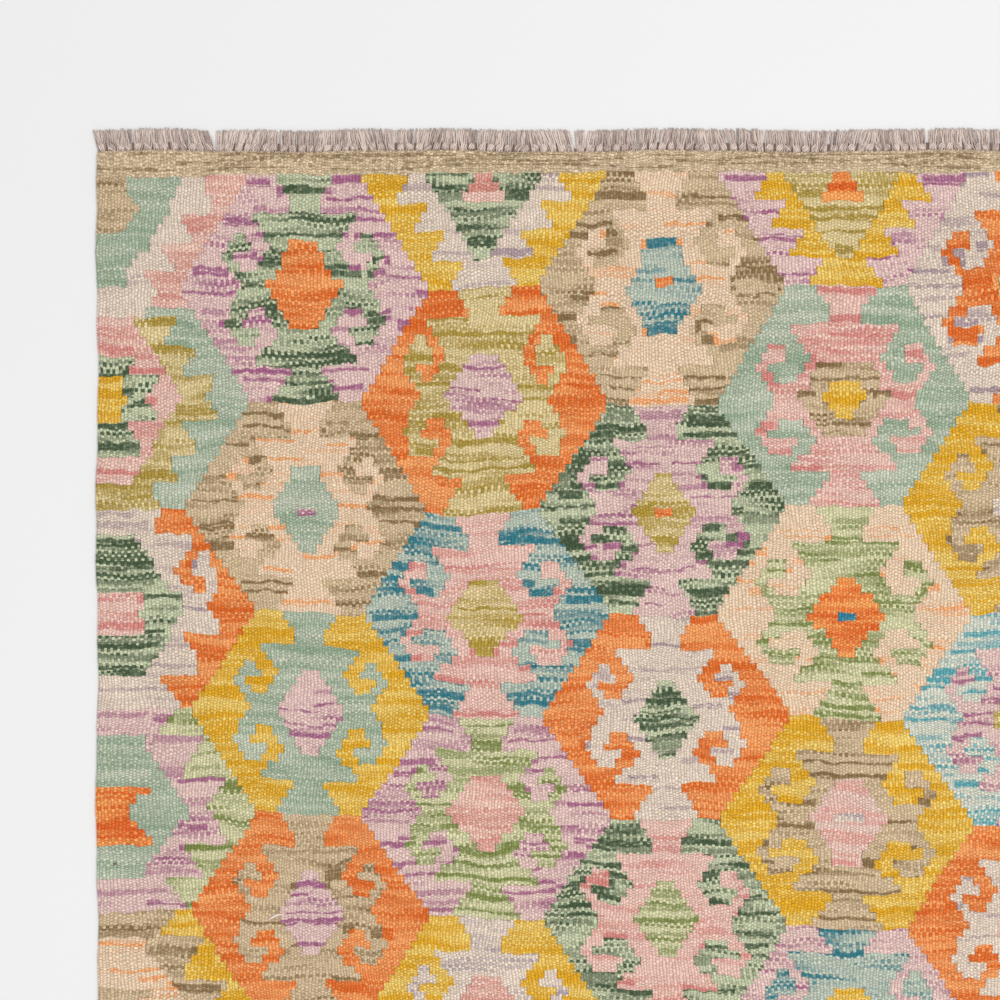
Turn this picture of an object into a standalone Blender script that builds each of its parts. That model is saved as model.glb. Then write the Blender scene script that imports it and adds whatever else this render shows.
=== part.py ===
"""Flat-woven kilim rug: one slit-tapestry cloth, with its warp ends cut short and knotted at both ends.

Metres. +X runs across the rug, +Y along the warps, and +Z up from the floor that it lies on.
The origin is on the floor, under the middle of the rug.
"""

import math
import random

import bmesh
import bpy

# The woven field
MEDALLION_PITCH = 0.200  # one column of hooked medallions to the next
COLUMNS_ACROSS = 6  # five whole columns and a part of one at each selvedge
SELVEDGE_OVERRUN = 0.030  # the outer columns run this far past their own middle
STEP_LENGTH = 0.1137  # half a medallion, along the warps
STEPS_LONG = 16
END_BAND = 0.024  # plain twined band at each end

CLOTH_WIDTH = COLUMNS_ACROSS * MEDALLION_PITCH + 2 * SELVEDGE_OVERRUN
CLOTH_LENGTH = STEPS_LONG * STEP_LENGTH + 2 * END_BAND
CLOTH_THICKNESS = 0.0026

# Raised twined rows of each end band
RIB_OFFSETS = (0.0045, 0.0105, 0.0165)  # middle of each row, from the cloth's end
RIB_WIDTH = 0.0044
RIB_HEIGHT = 0.0006

# How far the edges wander from straight: wavelength, size and phase of each wave
LEFT_WAVES = ((0.310, 0.0012, 0.4), (0.087, 0.0007, 1.9))
RIGHT_WAVES = ((0.270, 0.0012, 2.6), (0.095, 0.0007, 0.3))
TOP_WAVES = ((0.290, 0.0010, 1.1), (0.110, 0.0005, 2.2))
BOTTOM_WAVES = ((0.330, 0.0010, 3.0), (0.120, 0.0005, 0.8))

CLOTH_COLUMNS = 42
CLOTH_ROWS = 32  # plain rows between the end bands

# Fringe
LOCKS = 126  # knotted groups of warp ends, at each end
ROOT_GAP = 0.0003  # clearance between the cloth and the strip that holds the locks
STRIP_DEPTH = 0.0024
STRIP_THICKNESS = 0.0020
ROOT_SHARE = 0.70  # of a lock's pitch that its root takes
LOCK_REACH = 0.0200  # from the strip to the cut tips
REACH_SPREAD = 0.0012
LOCK_STAGES = (  # reach: share of the length; width: share of the pitch; ridge: share of that width
    {"reach": 0.24, "width": 0.84, "ridge": 0.64, "height": 0.0023},
    {"reach": 0.60, "width": 0.66, "ridge": 0.60, "height": 0.0017},
    {"reach": 1.00, "width": 0.66, "ridge": 0.72, "height": 0.0010},
)
LEAN_WAVES = ((0.096, 0.0018, 0.7), (0.210, 0.0018, 2.0))  # sideways lean of the tips along the rug
LEAN_SPREAD = 0.0004
CORNER_SPLAY = 0.0060  # the outermost locks fan out past the selvedge
CORNER_RUN = 0.035
FRINGE_SEED = 7

CLOTH_COLOUR = (0.58, 0.42, 0.31)
FRINGE_COLOUR = (0.50, 0.42, 0.39)


def wander(along, waves):
    """Offset of an edge, or lean of a lock, at a distance along it."""
    return sum(size * math.sin(2 * math.pi * along / length + phase) for length, size, phase in waves)


def clear_scene():
    for thing in list(bpy.data.objects):
        bpy.data.objects.remove(thing, do_unlink=True)


def wool(name, colour, roughness):
    material = bpy.data.materials.new(name)
    material.use_nodes = True
    shader = material.node_tree.nodes["Principled BSDF"]
    shader.inputs["Base Color"].default_value = (*colour, 1.0)
    shader.inputs["Roughness"].default_value = roughness
    shader.inputs["Metallic"].default_value = 0.0
    return material


def edge_x(y, side):
    waves = RIGHT_WAVES if side > 0 else LEFT_WAVES
    return side * CLOTH_WIDTH / 2 + wander(y, waves)


def end_y(x, side):
    waves = TOP_WAVES if side > 0 else BOTTOM_WAVES
    return side * CLOTH_LENGTH / 2 + wander(x, waves)


def cloth_stations():
    """Distances from one end of the cloth and the height of its face there, from end to end."""
    band = [(0.0, CLOTH_THICKNESS)]
    for middle in RIB_OFFSETS:
        band.append((middle - RIB_WIDTH / 2, CLOTH_THICKNESS))
        band.append((middle - RIB_WIDTH / 5, CLOTH_THICKNESS + RIB_HEIGHT))
        band.append((middle + RIB_WIDTH / 5, CLOTH_THICKNESS + RIB_HEIGHT))
        band.append((middle + RIB_WIDTH / 2, CLOTH_THICKNESS))
    field = CLOTH_LENGTH - 2 * END_BAND
    plain = [(END_BAND + field * row / CLOTH_ROWS, CLOTH_THICKNESS) for row in range(CLOTH_ROWS + 1)]
    return band + plain + [(CLOTH_LENGTH - along, height) for along, height in reversed(band)]


def build_cloth():
    """One flat sheet with wavering selvedges and ends, and low ribs across its two end bands."""
    stations = cloth_stations()
    rows = len(stations) - 1
    mesh = bmesh.new()
    bmesh.ops.create_grid(mesh, x_segments=CLOTH_COLUMNS, y_segments=rows, size=0.5)
    for point in mesh.verts:
        across = point.co.x + 0.5
        along, height = stations[round((point.co.y + 0.5) * rows)]
        straight_x = (across - 0.5) * CLOTH_WIDTH
        low, high = end_y(straight_x, -1), end_y(straight_x, 1)
        y = low + (high - low) * along / CLOTH_LENGTH
        left, right = edge_x(y, -1), edge_x(y, 1)
        point.co = (left + (right - left) * across, y, height)
    extruded = bmesh.ops.extrude_face_region(mesh, geom=mesh.faces[:])
    for point in extruded["geom"]:
        if isinstance(point, bmesh.types.BMVert):
            point.co.z = 0.0
    bmesh.ops.recalc_face_normals(mesh, faces=mesh.faces[:])
    return mesh


def lock_cuts(side):
    """Across positions of the strip's cuts, two for each lock, so odd cells hold the locks."""
    left, right = (edge_x(side * CLOTH_LENGTH / 2, hand) for hand in (-1, 1))
    pitch = (right - left) / LOCKS
    gap = pitch * (1 - ROOT_SHARE) / 2
    cuts = [left]
    for lock in range(LOCKS):
        start = left + lock * pitch
        cuts += [start + gap, start + pitch - gap]
    return cuts + [right]


def lean_at(x, dice):
    """Sideways lean of a lock's tip: it drifts along the rug, and fans out at the corners."""
    from_corner = max(0.0, CLOTH_WIDTH / 2 - abs(x))
    splay = CORNER_SPLAY * max(0.0, 1 - from_corner / CORNER_RUN) ** 2
    return wander(x, LEAN_WAVES) + math.copysign(splay, x) + dice.uniform(-LEAN_SPREAD, LEAN_SPREAD)


def grow_lock(mesh, root, side, dice):
    """Extrudes one lock from its face of the strip: a knot, a waist and a cut end, level on the floor."""
    pitch = CLOTH_WIDTH / LOCKS
    middle = root.calc_center_median()
    lean = lean_at(middle.x, dice)
    reach = LOCK_REACH + dice.uniform(-REACH_SPREAD, REACH_SPREAD)
    swell = dice.uniform(0.94, 1.04)
    face = root
    for stage in LOCK_STAGES:
        face = bmesh.ops.extrude_discrete_faces(mesh, faces=[face])["faces"][0]
        half = pitch * stage["width"] * swell / 2
        floor = max(point.co.z for point in face.verts) / 2
        centre = middle.x + lean * stage["reach"] ** 1.5
        y = middle.y + side * reach * stage["reach"]
        sides = {point: math.copysign(1, point.co.x - face.calc_center_median().x) for point in face.verts}
        for point, hand in sides.items():
            on_floor = point.co.z < floor
            spread = half if on_floor else half * stage["ridge"]
            point.co = (centre + hand * spread, y, 0.0 if on_floor else stage["height"])


def build_fringe(side, seed):
    """A narrow strip along one end of the cloth, with the locks fused into its outer face."""
    dice = random.Random(seed)
    cuts = lock_cuts(side)
    cells = len(cuts) - 1
    mesh = bmesh.new()
    bmesh.ops.create_grid(mesh, x_segments=cells, y_segments=1, size=0.5)
    for point in mesh.verts:
        x = cuts[round((point.co.x + 0.5) * cells)]
        outward = ROOT_GAP + (STRIP_DEPTH if point.co.y > 0 else 0.0)
        point.co = (x, end_y(x, side) + side * outward, 0.0)
    extruded = bmesh.ops.extrude_face_region(mesh, geom=mesh.faces[:])
    for point in extruded["geom"]:
        if isinstance(point, bmesh.types.BMVert):
            point.co.z = STRIP_THICKNESS
    bmesh.ops.recalc_face_normals(mesh, faces=mesh.faces[:])

    outer = [face for face in mesh.faces if face.normal.y * side > 0.9]
    outer.sort(key=lambda face: face.calc_center_median().x)
    for root in outer[1::2]:
        grow_lock(mesh, root, side, dice)
    bmesh.ops.recalc_face_normals(mesh, faces=mesh.faces[:])
    return mesh


def middle_of(meshes):
    """Middle of the box round all the meshes, across and along."""
    points = [point.co for mesh in meshes for point in mesh.verts]
    spans = [[point[axis] for point in points] for axis in (0, 1)]
    return [(min(span) + max(span)) / 2 for span in spans]


def main():
    clear_scene()
    collection = bpy.data.collections.new("kilim_rug")
    bpy.context.scene.collection.children.link(collection)

    pieces = (
        ("kilim_cloth", build_cloth(), wool("kilim_cloth", CLOTH_COLOUR, 0.92)),
        ("fringe_top", build_fringe(1, FRINGE_SEED), wool("fringe_top", FRINGE_COLOUR, 0.95)),
        ("fringe_bottom", build_fringe(-1, FRINGE_SEED + 1), wool("fringe_bottom", FRINGE_COLOUR, 0.95)),
    )
    centre_x, centre_y = middle_of([mesh for _, mesh, _ in pieces])
    for name, mesh, material in pieces:
        bmesh.ops.translate(mesh, verts=mesh.verts[:], vec=(-centre_x, -centre_y, 0.0))
        data = bpy.data.meshes.new(name)
        mesh.to_mesh(data)
        mesh.free()
        data.materials.append(material)
        collection.objects.link(bpy.data.objects.new(name, data))


main()
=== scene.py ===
import math
import random

import bmesh
import bpy
from mathutils import Matrix, Vector, noise


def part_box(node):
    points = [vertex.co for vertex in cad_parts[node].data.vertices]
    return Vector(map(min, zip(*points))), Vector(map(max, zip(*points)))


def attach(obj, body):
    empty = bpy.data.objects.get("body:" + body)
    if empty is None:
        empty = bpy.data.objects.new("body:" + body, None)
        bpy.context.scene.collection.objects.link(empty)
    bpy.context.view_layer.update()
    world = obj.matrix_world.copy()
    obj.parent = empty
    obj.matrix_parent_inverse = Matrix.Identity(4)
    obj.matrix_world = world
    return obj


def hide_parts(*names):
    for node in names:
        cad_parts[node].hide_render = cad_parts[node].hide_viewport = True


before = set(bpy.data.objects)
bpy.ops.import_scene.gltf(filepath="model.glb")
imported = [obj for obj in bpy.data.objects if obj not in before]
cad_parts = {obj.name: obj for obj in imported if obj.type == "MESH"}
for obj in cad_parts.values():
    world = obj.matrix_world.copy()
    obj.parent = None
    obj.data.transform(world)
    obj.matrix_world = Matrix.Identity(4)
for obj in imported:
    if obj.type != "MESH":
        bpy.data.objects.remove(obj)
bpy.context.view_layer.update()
print("frame loaded:", ", ".join(sorted(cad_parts)))

# Sizes shared with the part's source, in metres; each wave is a wavelength, a size and a phase
rug = {
    "width": 1.260,
    "length": 1.8672,
    "endBand": 0.024,
    "thickness": 0.0026,
    "leftWaves": ((0.310, 0.0012, 0.4), (0.087, 0.0007, 1.9)),
    "rightWaves": ((0.270, 0.0012, 2.6), (0.095, 0.0007, 0.3)),
    "topWaves": ((0.290, 0.0010, 1.1), (0.110, 0.0005, 2.2)),
    "bottomWaves": ((0.330, 0.0010, 3.0), (0.120, 0.0005, 0.8)),
}


def wander(along, waves):
    return sum(size * math.sin(2 * math.pi * along / length + phase) for length, size, phase in waves)


def edgeX(y, side):
    return side * rug["width"] / 2 + wander(y, rug["rightWaves" if side > 0 else "leftWaves"])


def endY(x, side):
    return side * rug["length"] / 2 + wander(x, rug["topWaves" if side > 0 else "bottomWaves"])


def lerp(a, b, share):
    return a + (b - a) * share


def smooth(low, high, value):
    share = min(1.0, max(0.0, (value - low) / (high - low)))
    return share * share * (3 - 2 * share)


def frameShift():
    # The source centres its box on the origin, so every new piece takes the same small shift
    low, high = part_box("kilim_cloth")
    parts = 400
    stations = [index / parts - 0.5 for index in range(parts + 1)]
    left = min(edgeX(at * rug["length"], -1) for at in stations)
    right = max(edgeX(at * rug["length"], 1) for at in stations)
    near = min(endY(at * rug["width"], -1) for at in stations)
    far = max(endY(at * rug["width"], 1) for at in stations)
    return Vector(((low.x + high.x - left - right) / 2, (low.y + high.y - near - far) / 2, 0.0))


shift = frameShift()
print("shift to the frame in mm:", [round(value * 1000, 2) for value in shift])

# The weave: one cell is two warps wide, and twelve rows are half a medallion
weave = {
    "cellsAcross": 189,
    "cellsPerColumn": 30,
    "firstAxis": 4,  # the cell in the middle of the column that the left selvedge cuts
    "waist": 10,  # cells from the middle of a medallion to its outline, where it is narrowest
    "rowsPerStep": 12,
    "steps": 16,
    "bandRows": 14,
    "rimShare": 0.15,  # of a cell, turned down round the cloth's rim
    "warpsPerCell": 2,
    "beadsPerRow": 4,
    "bandBeads": 11.0,
    "ribOffsets": (0.0045, 0.0105, 0.0165),
    "ribWidth": 0.0044,
    "ribHeight": 0.0006,
}
fieldRows = weave["steps"] * weave["rowsPerStep"]
plainLozenge = (7, "3456765432")

# Yarns: light and deep shade as display values, the share of deep picks, and how crisp the streaks are
yarns = {
    "band": ((208, 185, 152), (134, 110, 76), 0.30, 0.3),
    "taupe": ((203, 179, 144), (124, 97, 57), 0.33, 0.6),
    "teal": ((190, 195, 175), (139, 160, 134), 0.50, 0.2),
    "cream": ((218, 200, 182), (160, 138, 146), 0.22, 0.5),
    "peach": ((223, 197, 168), (232, 155, 93), 0.22, 0.5),
    "salmon": ((227, 190, 175), (204, 132, 119), 0.46, 0.3),
    "pink": ((224, 187, 173), (203, 123, 116), 0.35, 0.4),
    "blush": ((218, 190, 176), (218, 145, 135), 0.42, 0.3),
    "lilac": ((219, 188, 181), (155, 85, 126), 0.25, 0.9),
    "mauve": ((217, 187, 179), (156, 89, 125), 0.31, 0.7),
    "forest": ((188, 194, 161), (58, 79, 51), 0.43, 1.0),
    "leaf": ((204, 201, 159), (115, 128, 60), 0.40, 0.7),
    "olive": ((214, 194, 143), (161, 135, 46), 0.42, 0.7),
    "moss": ((216, 195, 145), (166, 138, 39), 0.47, 0.4),
    "mustard": ((227, 193, 101), (212, 156, 2), 0.50, 0.5),
    "orange": ((236, 155, 92), (212, 94, 13), 0.49, 0.4),
    "brick": ((241, 161, 88), (214, 86, 8), 0.50, 0.3),
    "lagoon": ((180, 189, 173), (29, 112, 126), 0.38, 0.9),
    "blue": ((66, 144, 160), (22, 106, 140), 0.50, 0.5),
    "aqua": ((203, 204, 188), (70, 153, 163), 0.37, 0.9),
    "pearl": ((220, 202, 184), (158, 144, 156), 0.34, 0.5),
}
yarnNames = list(yarns)

# Charts: cells of each yarn from the middle of a medallion outwards, one entry a row.
# i inner, o outer, c middle, g core, r ring; the rest of a row is the outer yarn.
hookCharts = {
    "plain": (
        "5i, 4i, 3i, 3i, 9i, 8i, 7i 3o 2i, 6i 3o 4i, 7i 5o 2i, 8i 3o 2i, 12i, 11i, "
        "12i, 13i, 7i 3o 3i, 6i 5o 3i, 5i 3o 5i, 6i 3o 3i, 8i, 9i, 3i, 4i, 5i, 6i"
    ),
    "wide": (
        "5i, 4i, 3i, 3i, 9i, 8i, 7i 3o 3i, 6i 4o 4i, 7i 6o 2i, 8i 4o 2i, 13i, 12i, "
        "12i, 13i, 7i 4o 3i, 6i 7o 2i, 5i 3o 6i, 6i 3o 4i, 8i, 9i, 3i, 4i, 5i, 6i"
    ),
    "high": (
        "5i, 4i, 3i, 10i, 9i, 8i 2o 2i, 7i 2o 4i, 7i 2o 5i, 8i 4o 2i, 9i 2o 2i, 12i, 11i, "
        "12i, 13i, 7i 3o 3i, 6i 5o 3i, 6i 2o 5i, 7i 2o 4i, 8i, 9i, 4i, 5i, 6i, 7i"
    ),
}
toothChart = "2c 8g 3r, 3c 6g 5r, 4c 4g 7r, 7g 3r, 6g 5r, 5g 7r, 4g 3r, 3g 5r, 2g 7r, 4r, 5r, 6r"
# Edge pieces, from the selvedge inwards; b, p, v, m and s are their other yarns
cornerChart = (
    "5b 9g 4r, 5b 8g 5r, 6b 6g 7r, 7b 5g 7r, 6b 5g 3r, 5b 5g 5r, "
    "9g 7r, 9g 2r, 7g 5r, 6g 7r, 5g 3r, 5g 4r"
)
steppedChart = (
    "10r 4s, 9r 6s, 8r, 6p 7v, 7p 5v, 8p 3v, 9p 7v, 6g 4p 5v, 5g 6p 3v, 4m 6g 2p 7v, 4m 5g 4p 6v, "
    "5m 3g 6p 4v, 4m 5g 4p 6v, 4m 6g 2p 8v, 5g 6p 3v, 6g 4p 5v, 7g 2p 7v, 7g 2p 7v, 8p 4v, 7p 5v, "
    "6p 7v, 9v, 9v, 10v"
)
edgeToothTop = "11r, 10r, 9r, 7g 9r, 7g 8r, 8g 6r, 9g 4r, 10g 3r, 11g 9r, 8c 4g 7r, 6c 7g 5r, 5c 9g 3r"
edgeHookTop = (
    "10r, 9r, 9r, 6g 9r, 7g 8r, 8g 6r 2o 2r, 9g 4r 2o 3r, 9g 3r 3o 4r, 10g 3r 4o 2r, 11g 4r 2o 2r, "
    "7c 6g 5r, 7c 6g 4r"
)
edgeToothEnd = "5c 9g 4r, 6c 6g 7r, 7c 4g 8r, 8c 2g 10r, 9g 4r, 8g 6r, 7g 8r, 7g 9r, 10r, 11r, 12r, 13r"
edgeHookEnd = "6c 7g 5r, 7c 5g 7r, 7c 4g 8r, 11g 2r, 10g 4r, 9g 6r, 8g 7r, 7g 8r, 9r, 10r, 11r, 12r"
edgeCharts = {
    "corner": cornerChart,
    "stepped": steppedChart,
    "toothed": edgeToothTop + ", " + edgeToothEnd,
    "hooked": edgeHookTop + ", " + edgeHookEnd,
}

# Medallions of each column from the top: outer, inner and lozenge yarns, then the lozenge's first row and
# its half widths downwards, and the same again for a middle in its own yarn
columns = (
    (
        ("lilac", "forest", "orange", 7, "344576543"),
        ("taupe", "peach", "teal", 7, "3345665432", "mauve", 12, "2"),
        ("mustard", "teal", "lilac", 7, "2345665432"),
        ("orange", "taupe", "lilac", 7, "2345665432"),
        ("aqua", "cream", "mustard"),
        ("leaf", "salmon", "lagoon", 7, "3456765432", "orange", 11, "2"),
        ("mustard", "forest", "pearl"),
        ("pink", "taupe", "orange"),
    ),
    (
        ("mustard", "cream", "forest", "salmon"),
        ("orange", "olive", "mauve", 7, "345676432"),
        ("lagoon", "pink", "moss", 8, "345676432"),
        ("mauve", "leaf", "salmon", 7, "345676532"),
        ("mustard", "pearl", "salmon"),
        ("forest", "peach", "teal", 7, "3456765432", "orange", 11, "2"),
        ("taupe", "lilac", "leaf"),
        ("orange", "teal", "cream"),
        ("lilac", "mustard", "olive", "brick"),
    ),
    (
        ("taupe", "peach", "lagoon", 7, "3445676543", "orange", 11, "2"),
        ("forest", "mauve", "moss", 8, "234565432", "orange", 12, "2"),
        ("orange", "cream", "forest", 8, "234565432"),
        ("forest", "pink", "leaf", 7, "234565432"),
        ("teal", "mustard", "lilac"),
        ("peach", "olive", "brick", 7, "3456765432", "blue", 11, "2"),
        ("lagoon", "salmon", "taupe"),
        ("mauve", "leaf", "mustard"),
    ),
    (
        ("lilac", "mustard", "olive", "brick"),
        ("teal", "pink", "taupe", 8, "56687654", "mustard", 10, "3432"),
        ("peach", "leaf", "brick", 8, "235676432", "blue", 12, "2"),
        ("mustard", "taupe", "blush", 7, "3456765433", "pearl", 11, "3"),
        ("mauve", "lagoon", "mustard"),
        ("orange", "cream", "forest"),
        ("olive", "lilac", "peach", 7, "3456765432", "teal", 11, "2"),
        ("forest", "teal", "salmon"),
        ("taupe", "peach", "lagoon", "pink"),
    ),
    (
        ("cream", "orange", "olive", 7, "2345665432"),
        ("mustard", "taupe", "pearl", 7, "2345665432"),
        ("aqua", "mauve", "moss", 7, "2345665432"),
        ("orange", "cream", "blush", 7, "2345665432"),
        ("lilac", "olive", "lagoon"),
        ("taupe", "teal", "peach", 7, "3456765432", "brick", 11, "2"),
        ("salmon", "forest", "mustard"),
        ("leaf", "cream", "orange"),
    ),
)
# Hooks that differ from the plain ones, by column and medallion
hookKinds = {(1, 1): "high", (3, 4): "high"}
hookKinds.update({key: "wide" for key in ((1, 2), (2, 0), (2, 1), (2, 3), (3, 1), (3, 2), (3, 3), (4, 0))})
leftEdge = (
    ("corner", {"b": "taupe", "g": "teal", "r": "cream", "o": "salmon"}),
    ("stepped", {"r": "cream", "p": "pink", "v": "olive", "g": "forest", "m": "mustard", "o": "teal",
                 "s": "salmon"}),
    ("hooked", {"r": "cream", "g": "forest", "c": "pink", "o": "orange"}),
    ("toothed", {"r": "mauve", "g": "teal", "c": "brick", "o": "leaf"}),
    ("toothed", {"r": "taupe", "g": "peach", "c": "taupe", "o": "mustard"}),
    ("toothed", {"r": "pink", "g": "forest", "c": "mustard", "o": "lilac"}),
    ("stepped", {"r": "peach", "p": "orange", "v": "leaf", "g": "cream", "m": "lagoon", "o": "taupe",
                 "s": "taupe"}),
    ("toothed", {"r": "cream", "g": "olive", "c": "mauve", "o": "teal"}),
    ("toothed", {"r": "mustard", "g": "salmon", "c": "forest", "o": "orange"}),
)
rightEdge = (
    ("corner", {"b": "olive", "g": "mustard", "r": "pink", "o": "lagoon"}),
    ("toothed", {"r": "lilac", "g": "forest", "c": "mustard", "o": "salmon"}),
    ("toothed", {"r": "orange", "g": "taupe", "c": "teal", "o": "leaf"}),
    ("hooked", {"r": "peach", "g": "lagoon", "c": "orange", "o": "forest"}),
    ("stepped", {"r": "cream", "p": "mauve", "v": "mustard", "g": "teal", "m": "brick", "o": "pink",
                 "s": "pink"}),
    ("toothed", {"r": "teal", "g": "peach", "c": "lilac", "o": "taupe"}),
    ("toothed", {"r": "olive", "g": "cream", "c": "forest", "o": "orange"}),
    ("stepped", {"r": "salmon", "p": "leaf", "v": "taupe", "g": "mustard", "m": "lagoon", "o": "lilac",
                 "s": "lilac"}),
    ("toothed", {"r": "pink", "g": "teal", "c": "orange", "o": "mustard"}),
)

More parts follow.
